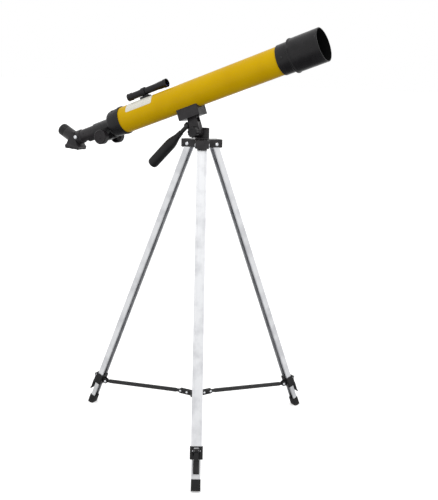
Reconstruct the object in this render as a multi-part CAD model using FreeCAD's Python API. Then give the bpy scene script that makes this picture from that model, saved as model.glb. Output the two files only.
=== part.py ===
import FreeCAD, Part
import math
import os

# A 50 mm refracting telescope on a light tripod with two-section channel legs.
# Millimetres, +Z up. The telescope aims along +X and is tipped up by ELEVATION.
# Everything is placed about the tripod's upright axis, and at the end the whole model is
# shifted so that the bottom centre of its box is the origin.

V = FreeCAD.Vector

# ---- clearances ----
RUNNING = 0.05          # radial, a pin in its hole
SLIDING = 0.35          # between flat sliding faces
GAP = 0.4               # between neighbours on different bodies

# ---- tripod ----
HINGE_RADIUS = 28.6     # leg hinge from the tripod axis
HINGE_HEIGHT = 645.5    # leg hinge above the floor
SPLAY = 22.0            # leg from the vertical, in degrees
FOLDED_SPLAY = 4.0      # the same with the legs closed against the hub
LEG_LENGTH = 695.5      # hinge to the end of the foot
COLLAR_DISTANCE = 623.5  # hinge to the middle of the collar
LEG_TOP = 4.0           # leg above its hinge
LEG_WIDTH = 21.0
LEG_DEPTH = 13.0
LEG_WALL = 1.2
LEG_LIP = 3.6           # folded edge of the channel, wall included
LEG_OUTER_FACE = 6.0    # outer face of the leg from the hinge line
INNER_TOP = 40.0        # top of the inner leg below the hinge
EXTENSION = 530.0       # travel of the inner leg
RIVET_R = 2.2
LEG_NAMES = {"right": -60.0, "left": 60.0, "rear": 180.0}

CROWN_TOP = 655.5
CROWN_BOTTOM = 639.0
CROWN_PLATE = 2.5
CROWN_BOSS_R = 15.0
LUG_OUTER = 43.5        # outer face of a lug from the axis
LUG_WALL = 2.6
CHEEK = 3.3
HOOD_DROP = 1.5         # tongue of the hood below the lug
TONGUE_HALF = 9.5
PAN_STUB_R = 6.0

COLLAR_HEIGHT = 25.0
COLLAR_WALL = 2.2
COLLAR_LIP = 4.5        # part of the collar below the end of the outer leg
ARM_PIVOT_OFFSET = 16.0  # spreader pivot inboard of the hinge line
EAR = 3.0
LEVER_PIN_R = 1.8
LEVER_PIN_DISTANCE = 619.5
LEVER_AXIS_OFFSET = 11.2
LEVER_WIDTH = 9.0
TONGUE_WIDTH = 11.6
TONGUE_END = 663.0
FOOT_HEIGHT = 22.0
FOOT_WIDTH = 18.6
FOOT_DEPTH = 15.0
SOLE_CUT = 2.2          # height of the flat ground on the sole's inner edge

ARM_HEIGHT = 9.0
ARM_THICK = 3.2
HUB_HEIGHT = 82.0       # arm pivots at the hub above the floor
HUB_PIVOT_R = 38.0
HUB_CORE_R = 12.0
HUB_THICK = 11.0
HUB_PLATE = 2.0

# ---- head ----
PIVOT_X = -12.0         # tilt axis, behind the tripod axis
PIVOT_Z = 670.5
PAN_DISC_R = 13.5
PAN_DISC_TOP = 658.9
COLUMN_THICK = 17.2     # across the telescope
COLUMN_WIDTH = 22.0     # along the telescope
POST_THICK = 6.0
POST_REAR = 11.0        # post behind the tilt axis
POST_FRONT = 21.0
POST_TOP = 679.5
TILT_BOLT_R = 3.0
TILT_KNOB_R = 12.0
TILT_KNOB_LENGTH = 13.5
MOUNT_SCREW_R = 3.1
WHEEL_R = 7.2
WHEEL_THICK = 8.4
SLOT_ROOF = 3.2         # top of the column, above the wheel's slot
HANDLE_DROP = 8.6       # handle's start below the top of the column
HANDLE_ANGLE = 25.2     # handle below the rearward direction of the tube, in degrees
HANDLE_LENGTH = 135.0
HANDLE_ROOT = 2.0       # set into the column
HANDLE_ROOT_R = 3.0
HANDLE_ROD_R = 4.6
ROD_END = 62.0          # end of the rod inside the grip
GRIP_R = 12.0

# ---- telescope, along its own axis: T forward, H up from the axis ----
ELEVATION = 20.0
AXIS_HEIGHT = 757.5     # optical axis over the tripod axis
TUBE_R = 29.0
TUBE_WALL = 1.0
TUBE_REAR = -215.0
TUBE_FRONT = 187.0
LENS_R = 26.0
LENS_SEAT = 203.0       # the shoulder that the lens rests on
CELL_R = TUBE_R + 1.8    # the cell's lip stands proud of the tube
SHIELD_R = CELL_R + 3.2
SHIELD_WALL = 2.0
SHIELD_REAR = 213.0
SHIELD_FRONT = 279.0
REAR_CELL_END = -242.0
SADDLE_LENGTH = 52.0
SADDLE_WIDTH = 36.0
SADDLE_BOTTOM = -46.0
SADDLE_TOP = -18.0
BAFFLE = 40.0           # rear of the stop inside the tube
BAFFLE_HOLE = 20.0
CELL_SCREWS = 3

# ---- focuser ----
DRAW_R = 14.0
DRAW_WALL = 1.0
DRAW_REAR = -345.0
DRAW_FRONT = -180.0
DRAW_COLLAR = 13.0
HOUSING_REAR = -291.0
PINION_T = -262.0
MODULE = 0.8
PINION_TEETH = 12
RACK_WIDTH = 6.0
RACK_LENGTH = 104.0
RACK_REAR = -319.0
FOCUS_TRAVEL = 38.0     # each way from rest
KNOB_R = 16.0
KNOB_OUTER = TUBE_R + 9.0  # outer face of a focus knob from the middle plane, clear of the cell
KNOB_THICK = 14.0
SHAFT_R = 2.0

# ---- diagonal and eyepiece ----
BEND_T = -354.0         # where the optical axis turns
DEVIATION = 48.0
NOSE_R = 12.25          # 24.5 mm barrels
DIAGONAL_WIDTH = 31.0
COVER_LENGTH = 38.0
COVER_THICK = 3.0
COVER_DISTANCE = 19.5   # inner face of the cover from the bend
HOLDER_R = 14.0
HOLDER_END = 29.0
EYEPIECE_END = 47.0

# ---- finder ----
FINDER_H = TUBE_R + 13.5
FINDER_REAR = -184.0
FINDER_FRONT = -79.0
FINDER_R = 7.5
FINDER_BELL_R = 9.3
FINDER_BRACKET_T = -141.0
FINDER_FOOT = 22.0      # length of the bracket's foot
FINDER_SCREWS = 15.0    # between the two screws in it

X = V(1, 0, 0)
Y = V(0, 1, 0)
Z = V(0, 0, 1)
PITCH_R = MODULE * PINION_TEETH / 2
RACK_PITCH_H = -(DRAW_R + 3.0)
PINION_H = RACK_PITCH_H - PITCH_R
NODES = {}


# ---- shape helpers ----
def cylinder(radius, start, end, axis=X, centre=V(0, 0, 0)):
    """A cylinder about axis through centre, from start to end along it."""
    return Part.makeCylinder(radius, end - start, centre + axis * start, axis)


def ring(outer, inner, start, end, axis=X, centre=V(0, 0, 0)):
    hole = cylinder(inner, start - 1, end + 1, axis, centre)
    return cylinder(outer, start, end, axis, centre).cut(hole)


def block(x, y, z):
    """A box from three (low, high) pairs."""
    return Part.makeBox(x[1] - x[0], y[1] - y[0], z[1] - z[0], V(x[0], y[0], z[0]))


def turned(profile):
    """A solid of revolution about X from a closed outline of (along, radius) points."""
    points = [V(a, 0, r) for a, r in profile]
    face = Part.Face(Part.makePolygon(points + [points[0]]))
    return face.revolve(V(0, 0, 0), X, 360)


def plate(outline, low, high):
    """A flat piece in the XZ plane, from an outline of (x, z) points, between two Y values."""
    points = [V(x, low, z) for x, z in outline]
    face = Part.Face(Part.makePolygon(points + [points[0]]))
    return face.extrude(Y * (high - low))


def rounded_bar(start, end, half_height, low, high):
    """A bar with round ends in the XZ plane between two (x, z) points."""
    a = V(start[0], 0, start[1])
    b = V(end[0], 0, end[1])
    along = (b - a).normalize()
    side = V(-along.z, 0, along.x) * half_height
    outline = [a + side, b + side, b - side, a - side]
    bar = plate([(p.x, p.z) for p in outline], low, high)
    ends = [cylinder(half_height, low, high, Y, p) for p in (a, b)]
    return bar.multiFuse(ends).removeSplitter()


def softened(shape, radius, wanted):
    """Fillets the straight edges for which wanted(middle point, direction) is true."""
    edges = []
    for edge in shape.Edges:
        if edge.Curve.TypeId != "Part::GeomLine":
            continue
        a, b = edge.Vertexes[0].Point, edge.Vertexes[-1].Point
        if wanted((a + b) / 2, (b - a).normalize()):
            edges.append(edge)
    return shape.makeFillet(radius, edges)


def along_axis(axis):
    """A test for softened: edges along this axis."""
    return lambda middle, direction: abs(direction.dot(axis)) > 0.999


def joined(first, *others):
    return first.multiFuse(list(others)).removeSplitter()


def without(first, *others):
    for other in others:
        first = first.cut(other)
    return first


def scalloped(shape, count, radius, groove, start, end, axis=X, centre=V(0, 0, 0)):
    """Cuts count round grooves along the rim of a knob."""
    side = Y if abs(axis.dot(Y)) < 0.5 else Z
    for i in range(count):
        turn = FreeCAD.Rotation(axis, 360.0 * (i + 0.5) / count)
        place = centre + turn.multVec(side) * radius
        shape = shape.cut(cylinder(groove, start, end, axis, place))
    return shape


def moved(shape, placement):
    return shape.transformed(placement.toMatrix(), True)


def node(name, *shapes, place=None):
    """Keeps a piece, or a group of like pieces, under its name."""
    if place is not None:
        shapes = [moved(s, place) for s in shapes]
    solids = [solid for s in shapes for solid in s.Solids]
    NODES[name] = solids[0] if len(solids) == 1 else Part.makeCompound(solids)


def turn_about(axis, degrees, centre=V(0, 0, 0)):
    return FreeCAD.Placement(V(0, 0, 0), FreeCAD.Rotation(axis, degrees), centre)


# ---- frames ----
SCOPE = FreeCAD.Placement(V(0, 0, AXIS_HEIGHT), FreeCAD.Rotation(Y, -ELEVATION))


def leg_frame(azimuth, splay=SPLAY):
    """X outward, Y tangential, Z up along the leg, from the leg's hinge."""
    tip = FreeCAD.Placement(V(HINGE_RADIUS, 0, HINGE_HEIGHT), FreeCAD.Rotation(Y, -splay))
    return FreeCAD.Placement(V(0, 0, 0), FreeCAD.Rotation(Z, azimuth)).multiply(tip)


PIVOT_LOCAL = SCOPE.inverse().multVec(V(PIVOT_X, 0, PIVOT_Z))
PIVOT_T = PIVOT_LOCAL.x
PIVOT_H = PIVOT_LOCAL.z


# ---- spreader geometry in the plane of one leg ----
def arm_pivot(splay):
    """(radius, height) of the spreader pivot on the collar."""
    a = math.radians(splay)
    radius = HINGE_RADIUS + COLLAR_DISTANCE * math.sin(a) - ARM_PIVOT_OFFSET * math.cos(a)
    height = HINGE_HEIGHT - COLLAR_DISTANCE * math.cos(a) - ARM_PIVOT_OFFSET * math.sin(a)
    return radius, height


def spreader():
    """Arm length, its slope at rest and folded, and the hub's lift, from the leg angles."""
    radius, height = arm_pivot(SPLAY)
    length = math.hypot(radius - HUB_PIVOT_R, HUB_HEIGHT - height)
    rest = math.atan2(HUB_HEIGHT - height, radius - HUB_PIVOT_R)
    folded_radius, folded_height = arm_pivot(FOLDED_SPLAY)
    folded = math.acos((folded_radius - HUB_PIVOT_R) / length)
    lift = folded_height + length * math.sin(folded) - HUB_HEIGHT
    return length, math.degrees(rest), math.degrees(folded), lift


ARM_LENGTH, ARM_REST, ARM_FOLDED, HUB_LIFT = spreader()
LUG_HALF = LEG_WIDTH / 2 + GAP + CHEEK


# ---- tripod crown ----
def crown():
    body = cylinder(CROWN_BOSS_R, CROWN_BOTTOM - 2, CROWN_TOP, Z)
    for azimuth in LEG_NAMES.values():
        turn = turn_about(Z, azimuth)
        lug = block((0, LUG_OUTER), (-LUG_HALF, LUG_HALF), (CROWN_BOTTOM, CROWN_TOP))
        lug = softened(lug, 2.5, lambda m, d: abs(d.z) > 0.999 and m.x > 10)
        tongue = block((LUG_OUTER - LUG_WALL, LUG_OUTER), (-TONGUE_HALF, TONGUE_HALF),
                       (CROWN_BOTTOM - HOOD_DROP, CROWN_BOTTOM + 1))
        lug = lug.fuse(tongue)
        room = block((CROWN_BOSS_R, LUG_OUTER - LUG_WALL),
                     (-LEG_WIDTH / 2 - GAP, LEG_WIDTH / 2 + GAP),
                     (CROWN_BOTTOM - 10, CROWN_TOP - CROWN_PLATE))
        body = body.fuse(moved(lug, turn))
        body = body.cut(moved(room, turn))
        pin = cylinder(RIVET_R, -LUG_HALF - 1, LUG_HALF + 1, Y, V(HINGE_RADIUS, 0, HINGE_HEIGHT))
        body = body.cut(moved(pin, turn))
    body = body.cut(cylinder(PAN_STUB_R + RUNNING, 0, CROWN_TOP + 1, Z))
    node("crown", body.removeSplitter())


def domed_head(radius, height, low, axis, centre):
    """A low rivet head with a chamfered rim."""
    base = Part.makeCylinder(radius, height * 0.4, centre + axis * low, axis)
    top = Part.makeCone(radius, radius * 0.55, height * 0.6, centre + axis * (low + height * 0.4), axis)
    return base.fuse(top)


def leg_rivets():
    pins = []
    for azimuth in LEG_NAMES.values():
        centre = V(HINGE_RADIUS, 0, HINGE_HEIGHT)
        pin = cylinder(RIVET_R, -LUG_HALF, LUG_HALF, Y, centre)
        heads = [domed_head(3.9, 1.6, LUG_HALF, Y * side, centre) for side in (1, -1)]
        pins.append(moved(joined(pin, *heads), turn_about(Z, azimuth)))
    node("leg_rivets", *pins)


# ---- one leg ----
def channel(width, depth, wall, outer, lip, top, bottom):
    """A C-channel along Z, open inwards, with its web's outer face at X = outer."""
    shell = block((outer - depth, outer), (-width / 2, width / 2), (bottom, top))
    room = block((outer - depth + wall, outer - wall), (-width / 2 + wall, width / 2 - wall),
                 (bottom - 1, top + 1))
    mouth = block((outer - depth - 1, outer - depth + wall), (-width / 2 + lip, width / 2 - lip),
                  (bottom - 1, top + 1))
    shell = softened(shell, 0.9, along_axis(Z))
    return without(shell, room, mouth)


INNER_WIDTH = LEG_WIDTH - 2 * LEG_WALL - 2 * SLIDING
INNER_DEPTH = LEG_DEPTH - 2 * LEG_WALL - 2 * SLIDING
INNER_FACE = LEG_OUTER_FACE - LEG_WALL - SLIDING
COLLAR_TOP = -(COLLAR_DISTANCE - COLLAR_HEIGHT / 2)
COLLAR_BOTTOM = -(COLLAR_DISTANCE + COLLAR_HEIGHT / 2)
OUTER_END = COLLAR_BOTTOM + COLLAR_LIP
COLLAR_OUT = LEG_OUTER_FACE + COLLAR_WALL + 0.8
COLLAR_IN = LEG_OUTER_FACE - LEG_DEPTH - COLLAR_WALL


def outer_leg(side, place):
    leg = channel(LEG_WIDTH, LEG_DEPTH, LEG_WALL, LEG_OUTER_FACE, LEG_LIP, LEG_TOP, OUTER_END)
    leg = leg.cut(cylinder(RIVET_R + RUNNING, -LEG_WIDTH, LEG_WIDTH, Y))
    node("outer_leg_" + side, leg, place=place)


def leg_collar(side, place):
    half = LEG_WIDTH / 2 + COLLAR_WALL
    body = block((COLLAR_IN, COLLAR_OUT), (-half, half), (COLLAR_BOTTOM, COLLAR_TOP))
    body = softened(body, 2.0, along_axis(Z))
    pivot = V(-ARM_PIVOT_OFFSET, 0, -COLLAR_DISTANCE)
    ear_low = ARM_THICK / 2 + GAP
    for sign in (1, -1):
        low, high = sorted((sign * ear_low, sign * (ear_low + EAR)))
        body = body.fuse(rounded_bar((pivot.x, pivot.z), (COLLAR_IN + 3, pivot.z), 5.5, low, high))
        low, high = sorted((sign * (LEVER_WIDTH / 2 + GAP), sign * (LEVER_WIDTH / 2 + GAP + 2.4)))
        body = body.fuse(rounded_bar((LEVER_AXIS_OFFSET, -LEVER_PIN_DISTANCE),
                                     (COLLAR_OUT - 3, -LEVER_PIN_DISTANCE), 4.6, low, high))
    sleeve = block((LEG_OUTER_FACE - LEG_DEPTH, LEG_OUTER_FACE), (-LEG_WIDTH / 2, LEG_WIDTH / 2),
                   (OUTER_END, COLLAR_TOP + 1))
    guide = block((INNER_FACE - INNER_DEPTH - SLIDING, INNER_FACE + SLIDING),
                  (-INNER_WIDTH / 2 - SLIDING, INNER_WIDTH / 2 + SLIDING),
                  (COLLAR_BOTTOM - 1, OUTER_END + 1))
    window = block((LEG_OUTER_FACE - 0.5, COLLAR_OUT + 1),
                   (-LEVER_WIDTH / 2 - GAP, LEVER_WIDTH / 2 + GAP),
                   (-LEVER_PIN_DISTANCE - 6.0, -LEVER_PIN_DISTANCE + 6.0))
    ear_room = block((-40, COLLAR_IN), (-ear_low, ear_low), (COLLAR_BOTTOM - 20, COLLAR_TOP + 20))
    rivet = cylinder(RIVET_R, -20, 20, Y, pivot)
    lever = V(LEVER_AXIS_OFFSET, 0, -LEVER_PIN_DISTANCE)
    pin = cylinder(LEVER_PIN_R, -20, 20, Y, lever)
    node("leg_collar_" + side, without(body, sleeve, guide, window, ear_room, rivet, pin), place=place)


def collar_pins(side, place):
    """The spreader rivet and the lever's pin, both plated steel, fixed in the collar."""
    pivot = V(-ARM_PIVOT_OFFSET, 0, -COLLAR_DISTANCE)
    reach = ARM_THICK / 2 + GAP + EAR
    rivet = cylinder(RIVET_R, -reach, reach, Y, pivot)
    heads = [domed_head(3.6, 1.4, reach, Y * sign, pivot) for sign in (1, -1)]
    lever = V(LEVER_AXIS_OFFSET, 0, -LEVER_PIN_DISTANCE)
    half = LEVER_WIDTH / 2 + GAP + 2.4 + 0.8
    node("collar_pins_" + side, joined(rivet, *heads),
         cylinder(LEVER_PIN_R, -half, half, Y, lever), place=place)


def lock_lever(side, place):
    """A cam lever: round barrel on its pin, then a flat tongue down the face of the collar."""
    axis = V(LEVER_AXIS_OFFSET, 0, -LEVER_PIN_DISTANCE)
    half = LEVER_WIDTH / 2
    barrel = cylinder(4.3, -half, half, Y, axis)
    near = COLLAR_OUT + GAP
    shank = block((near, near + 4.6), (-half, half), (-COLLAR_DISTANCE - 16, -LEVER_PIN_DISTANCE))
    wide = TONGUE_WIDTH / 2
    start = COLLAR_BOTTOM - 1.0
    tongue = plate([(near, start), (near + 4.6, start), (near + 4.2, -TONGUE_END + 6),
                    (near + 6.2, -TONGUE_END), (near + 3.0, -TONGUE_END), (near, -TONGUE_END + 7)],
                   -wide, wide)
    lever = joined(barrel, shank, tongue)
    lever = lever.cut(cylinder(LEVER_PIN_R + RUNNING, -20, 20, Y, axis))
    node("lock_lever_" + side, lever, place=place)


def inner_leg(side, place):
    leg = channel(INNER_WIDTH, INNER_DEPTH, LEG_WALL, INNER_FACE, LEG_LIP, -INNER_TOP,
                  -LEG_LENGTH + 4.0)
    node("inner_leg_" + side, leg, place=place)


def foot(side, place):
    """A moulded rubber foot over the end of the inner leg, with a flat for the floor."""
    middle = INNER_FACE - INNER_DEPTH / 2
    x = (middle - FOOT_DEPTH / 2, middle + FOOT_DEPTH / 2)
    top = -LEG_LENGTH + FOOT_HEIGHT
    body = block(x, (-FOOT_WIDTH / 2, FOOT_WIDTH / 2), (-LEG_LENGTH, top))
    body = softened(body, 2.2, along_axis(Z))
    socket = block((INNER_FACE - INNER_DEPTH, INNER_FACE), (-INNER_WIDTH / 2, INNER_WIDTH / 2),
                   (-LEG_LENGTH + 4.0, top + 1))
    body = moved(body.cut(socket), place)
    corner = place.multVec(V(x[0], 0, -LEG_LENGTH))
    floor = block((-600, 600), (-600, 600), (corner.z - 50, corner.z + SOLE_CUT))
    node("foot_" + side, body.cut(floor))
    return corner.z + SOLE_CUT


def spreader_arm(side, azimuth):
    """A pressed steel strip with a groove down each side, from the collar to the hub."""
    radius, height = arm_pivot(SPLAY)
    outer = (radius, height)
    inner = (HUB_PIVOT_R, HUB_HEIGHT)
    half = ARM_THICK / 2
    waist = 3.6
    bar = rounded_bar(outer, inner, waist, -half, half)
    slope = math.radians(ARM_REST)
    full = (outer[0] - 12 * math.cos(slope), outer[1] + 12 * math.sin(slope))
    last = (inner[0] + 14 * math.cos(slope), inner[1] - 14 * math.sin(slope))
    bar = joined(bar, rounded_bar(full, last, ARM_HEIGHT / 2, -half, half))
    for sign in (1, -1):
        low, high = sorted((sign * (half - 0.7), sign * (half + 1)))
        bar = bar.cut(rounded_bar(full, last, 1.7, low, high))
    bar = bar.cut(cylinder(RIVET_R + RUNNING, -10, 10, Y, V(radius, 0, height)))
    node("spreader_arm_" + side, bar, place=turn_about(Z, azimuth))


# ---- spreader hub ----
def spreader_hub():
    core = cylinder(HUB_CORE_R, HUB_HEIGHT - HUB_THICK / 2, HUB_HEIGHT + HUB_THICK / 2, Z)
    slots = []
    heads = []
    gap = ARM_THICK / 2 + GAP
    for azimuth in LEG_NAMES.values():
        turn = turn_about(Z, azimuth)
        for sign in (1, -1):
            low, high = sorted((sign * gap, sign * (gap + HUB_PLATE)))
            fork = rounded_bar((6, HUB_HEIGHT), (HUB_PIVOT_R, HUB_HEIGHT), HUB_THICK / 2, low, high)
            core = core.fuse(moved(fork, turn))
            for radius in (HUB_PIVOT_R, HUB_CORE_R + 9):
                head = domed_head(2.8, 1.2, gap + HUB_PLATE, Y * sign, V(radius, 0, HUB_HEIGHT))
                heads.append(moved(head, turn))
        slots.append(moved(block((HUB_CORE_R - 2, 60), (-gap, gap), (0, 200)), turn))
    node("spreader_hub", without(core, *slots).removeSplitter())
    node("hub_rivets", *heads)


# ---- head ----
def pan_base():
    disc = cylinder(PAN_DISC_R, CROWN_TOP + GAP, PAN_DISC_TOP, Z)
    stub = cylinder(PAN_STUB_R, CROWN_BOTTOM + 1, CROWN_TOP + GAP, Z)
    face = COLUMN_THICK / 2 + GAP
    post = block((PIVOT_X - POST_REAR, PIVOT_X + POST_FRONT), (face, face + POST_THICK),
                 (CROWN_TOP + GAP, POST_TOP))
    post = softened(post, 1.2, lambda m, d: abs(d.y) > 0.999 and m.z > PIVOT_Z)
    hole = cylinder(TILT_BOLT_R, face - 1, face + POST_THICK + 1, Y, V(PIVOT_X, 0, PIVOT_Z))
    thread = cylinder(2.0, CROWN_BOTTOM, CROWN_TOP - 3, Z)
    node("pan_base", without(joined(disc, stub, post), hole, thread))


def pan_bolt():
    """The screw and washer that hold the stub up in the crown."""
    under = CROWN_BOTTOM - 2 - GAP
    shank = cylinder(2.0, under, CROWN_TOP - 3.5, Z)
    washer = cylinder(9.0, under - 1.2, under, Z)
    head = Part.makeCone(2.6, 4.0, 2.6, V(0, 0, under - 3.8), Z)
    node("pan_bolt", joined(shank, washer, head))


def hexagon(across_flats, low, high, axis_x, axis_z):
    corner = across_flats / math.sqrt(3)
    outline = [(axis_x + corner * math.cos(math.radians(60 * i)),
                axis_z + corner * math.sin(math.radians(60 * i))) for i in range(6)]
    return plate(outline, low, high)


def tilt_bolt():
    face = COLUMN_THICK / 2 + GAP + POST_THICK
    centre = V(PIVOT_X, 0, PIVOT_Z)
    shank = cylinder(TILT_BOLT_R, -COLUMN_THICK / 2 - GAP - TILT_KNOB_LENGTH + 2.5, face, Y, centre)
    node("tilt_bolt", shank.fuse(hexagon(9.5, face, face + 3.6, PIVOT_X, PIVOT_Z)))


def tilt_knob():
    centre = V(PIVOT_X, 0, PIVOT_Z)
    near = -COLUMN_THICK / 2 - GAP
    body = cylinder(TILT_KNOB_R, near - TILT_KNOB_LENGTH, near - 1.4, Y, centre)
    body = scalloped(body, 12, TILT_KNOB_R + 1.2, 2.2, near - TILT_KNOB_LENGTH - 1, near - 1, Y, centre)
    boss = cylinder(7.0, near - 1.5, near, Y, centre)
    bore = cylinder(TILT_BOLT_R + RUNNING, near - TILT_KNOB_LENGTH + 2.0, near + 1, Y, centre)
    node("tilt_knob", body.fuse(boss).cut(bore))


def tilt_column():
    """Upright that tilts with the telescope, with a slot for the mount screw's wheel."""
    half_t = COLUMN_WIDTH / 2
    half_y = COLUMN_THICK / 2
    column = block((PIVOT_T - half_t, PIVOT_T + half_t), (-half_y, half_y), (PIVOT_H, SADDLE_BOTTOM))
    foot_end = cylinder(half_t, -half_y, half_y, Y, V(PIVOT_T, 0, PIVOT_H))
    column = joined(column, foot_end)
    column = softened(column, 1.5, along_axis(Z))
    top = SADDLE_BOTTOM - SLOT_ROOF
    wheel_room = cylinder(WHEEL_R + 0.5, top - WHEEL_THICK - GAP, top, Z, V(PIVOT_T, 0, 0))
    mouth = block((PIVOT_T, PIVOT_T + half_t + 1), (-5.5, 5.5), (top - WHEEL_THICK - GAP, top))
    shank = cylinder(MOUNT_SCREW_R + RUNNING, top - 1, SADDLE_BOTTOM + 1, Z, V(PIVOT_T, 0, 0))
    pivot = cylinder(TILT_BOLT_R + RUNNING, -20, 20, Y, V(PIVOT_T, 0, PIVOT_H))
    handle = handle_start()
    way = FreeCAD.Rotation(X, handle_direction())
    socket = moved(cylinder(HANDLE_ROOT_R, -HANDLE_ROOT, 3), FreeCAD.Placement(handle, way))
    node("tilt_column", without(column, wheel_room, mouth, shank, pivot, socket), place=SCOPE)


def mount_screw():
    top = SADDLE_BOTTOM - SLOT_ROOF
    wheel = cylinder(WHEEL_R, top - WHEEL_THICK, top - GAP / 2, Z, V(PIVOT_T, 0, 0))
    wheel = scalloped(wheel, 16, WHEEL_R + 0.6, 1.1, top - WHEEL_THICK - 1, top, Z, V(PIVOT_T, 0, 0))
    shank = cylinder(MOUNT_SCREW_R, top - 1, SADDLE_BOTTOM + 7.0, Z, V(PIVOT_T, 0, 0))
    node("mount_screw", wheel.fuse(shank), place=SCOPE)


def handle_direction():
    a = math.radians(HANDLE_ANGLE)
    return V(-math.cos(a), 0, -math.sin(a))


def handle_start():
    """Where the handle's axis meets the rear face of the column."""
    return V(PIVOT_T - COLUMN_WIDTH / 2, 0, SADDLE_BOTTOM - HANDLE_DROP)


def handle():
    way = FreeCAD.Rotation(X, handle_direction())
    place = SCOPE.multiply(FreeCAD.Placement(handle_start(), way))
    seat = 4.0
    root = HANDLE_ROOT_R
    rod = turned([(-HANDLE_ROOT, 0), (-HANDLE_ROOT, root), (seat, root), (seat, 6.6), (seat + 1, 7.2),
                  (12, 7.2), (13, 6.4), (13, HANDLE_ROD_R), (ROD_END, HANDLE_ROD_R), (ROD_END, 0)])
    node("handle_rod", rod, place=place)
    bore = HANDLE_ROD_R
    end = HANDLE_LENGTH
    grip = [(30, bore), (30, 5.6), (36, 6.0), (44, 6.8), (54, 9.4), (60, 11.0), (66, 11.8),
            (72, GRIP_R), (end - 7, GRIP_R), (end - 3, 11.0), (end - 0.8, 9.0), (end, 6.5),
            (end, 0), (ROD_END, 0), (ROD_END, bore)]
    node("handle_grip", turned(grip), place=place)


# ---- telescope ----
def main_tube():
    tube = ring(TUBE_R, TUBE_R - TUBE_WALL, TUBE_REAR, TUBE_FRONT)
    node("main_tube", tube, place=SCOPE)
    inside = TUBE_R - TUBE_WALL
    rear = BAFFLE
    stop = turned([(rear, BAFFLE_HOLE), (rear + 1, BAFFLE_HOLE), (rear + 1, inside - 1),
                   (rear + 9, inside - 1), (rear + 9, inside), (rear, inside)])
    node("tube_baffle", stop, place=SCOPE)


def objective():
    inside = TUBE_R - TUBE_WALL
    seat = LENS_SEAT
    cell = turned([(170, inside - 2), (170, inside), (TUBE_FRONT, inside), (TUBE_FRONT, CELL_R - 0.6),
                   (TUBE_FRONT + 0.6, CELL_R), (SHIELD_REAR + 7, CELL_R), (SHIELD_REAR + 7, LENS_R + 0.6),
                   (seat, LENS_R + 0.6), (seat, LENS_R - 1.5), (182, LENS_R - 1.5)])
    node("objective_cell", cell, place=SCOPE)
    back = Part.makeSphere(160, V(seat + 160.6, 0, 0))
    front = Part.makeSphere(95, V(seat + 9.5 - 95, 0, 0))
    lens = cylinder(LENS_R, seat, seat + 12).common(back).common(front)
    node("objective_lens", lens, place=SCOPE)
    rim = seat + 10.0
    lock = turned([(rim, LENS_R - 2.2), (rim, LENS_R + 0.6), (rim + 4, LENS_R + 0.6),
                   (rim + 4, LENS_R - 1.4)])
    node("lens_ring", lock, place=SCOPE)


def dew_shield():
    inside = SHIELD_R - SHIELD_WALL
    rear = SHIELD_REAR
    shell = turned([(rear, CELL_R), (rear, SHIELD_R + 0.4), (rear + 0.8, SHIELD_R + 1.2),
                    (rear + 4, SHIELD_R + 1.2), (rear + 5, SHIELD_R), (SHIELD_FRONT - 0.6, SHIELD_R),
                    (SHIELD_FRONT, SHIELD_R - 0.6), (SHIELD_FRONT, inside + 0.4),
                    (SHIELD_FRONT - 0.4, inside), (rear + 4, inside), (rear + 4, CELL_R)])
    node("dew_shield", shell, place=SCOPE)


def rack_room(clear=0.4):
    """The way that the rack needs along the underside of the draw tube."""
    half = RACK_WIDTH / 2 + clear
    return block((-400, -150), (-half, half), (RACK_PITCH_H - MODULE - clear, -DRAW_R + 1.5))


def rear_cell():
    inside = TUBE_R - TUBE_WALL
    end = REAR_CELL_END
    hole = DRAW_R + 2.2
    cell = turned([(TUBE_REAR + 8, TUBE_R), (TUBE_REAR + 8, TUBE_R + 1.8), (TUBE_REAR + 7.2, TUBE_R + 2.4),
                   (TUBE_REAR + 1, TUBE_R + 2.4), (TUBE_REAR, TUBE_R + 1.0), (end + 9, TUBE_R + 0.6),
                   (end + 2, TUBE_R - 1.0), (end, TUBE_R - 2.4), (end, hole), (end + 3.5, hole),
                   (end + 3.5, inside - 4), (end + 9, inside - 1), (TUBE_REAR, inside - 1),
                   (TUBE_REAR, TUBE_R)])
    node("rear_cell", cell.cut(rack_room()), place=SCOPE)


def focuser_housing():
    outer = DRAW_R + 2.2
    barrel = cylinder(outer, HOUSING_REAR, REAR_CELL_END + 3.5)
    flange = cylinder(outer + 2.6, REAR_CELL_END - 3.0, REAR_CELL_END)
    box = block((PINION_T - 11, REAR_CELL_END - 3.0), (-11, 11), (PINION_H - 7.5, -6))
    box = softened(box, 2.0, lambda m, d: abs(d.y) > 0.999 and m.z < PINION_H)
    body = joined(barrel, flange, box)
    bore = cylinder(DRAW_R + RUNNING, -400, 0)
    pinion = V(PINION_T, 0, PINION_H)
    cavity = cylinder(PITCH_R + MODULE + 0.5, -RACK_WIDTH / 2 - 0.4, RACK_WIDTH / 2 + 0.4, Y, pinion)
    shaft = cylinder(SHAFT_R + RUNNING, -30, 30, Y, pinion)
    node("focuser_housing", without(body, bore, rack_room(), cavity, shaft), place=SCOPE)


def saddle_block():
    half = SADDLE_LENGTH / 2
    body = block((PIVOT_T - half, PIVOT_T + half), (-SADDLE_WIDTH / 2, SADDLE_WIDTH / 2),
                 (SADDLE_BOTTOM, SADDLE_TOP))
    body = softened(body, 1.5, along_axis(Z))
    hole = cylinder(MOUNT_SCREW_R + RUNNING, SADDLE_BOTTOM - 1, SADDLE_BOTTOM + 8, Z, V(PIVOT_T, 0, 0))
    node("saddle_block", without(body, cylinder(TUBE_R, -400, 400), hole), place=SCOPE)


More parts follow.
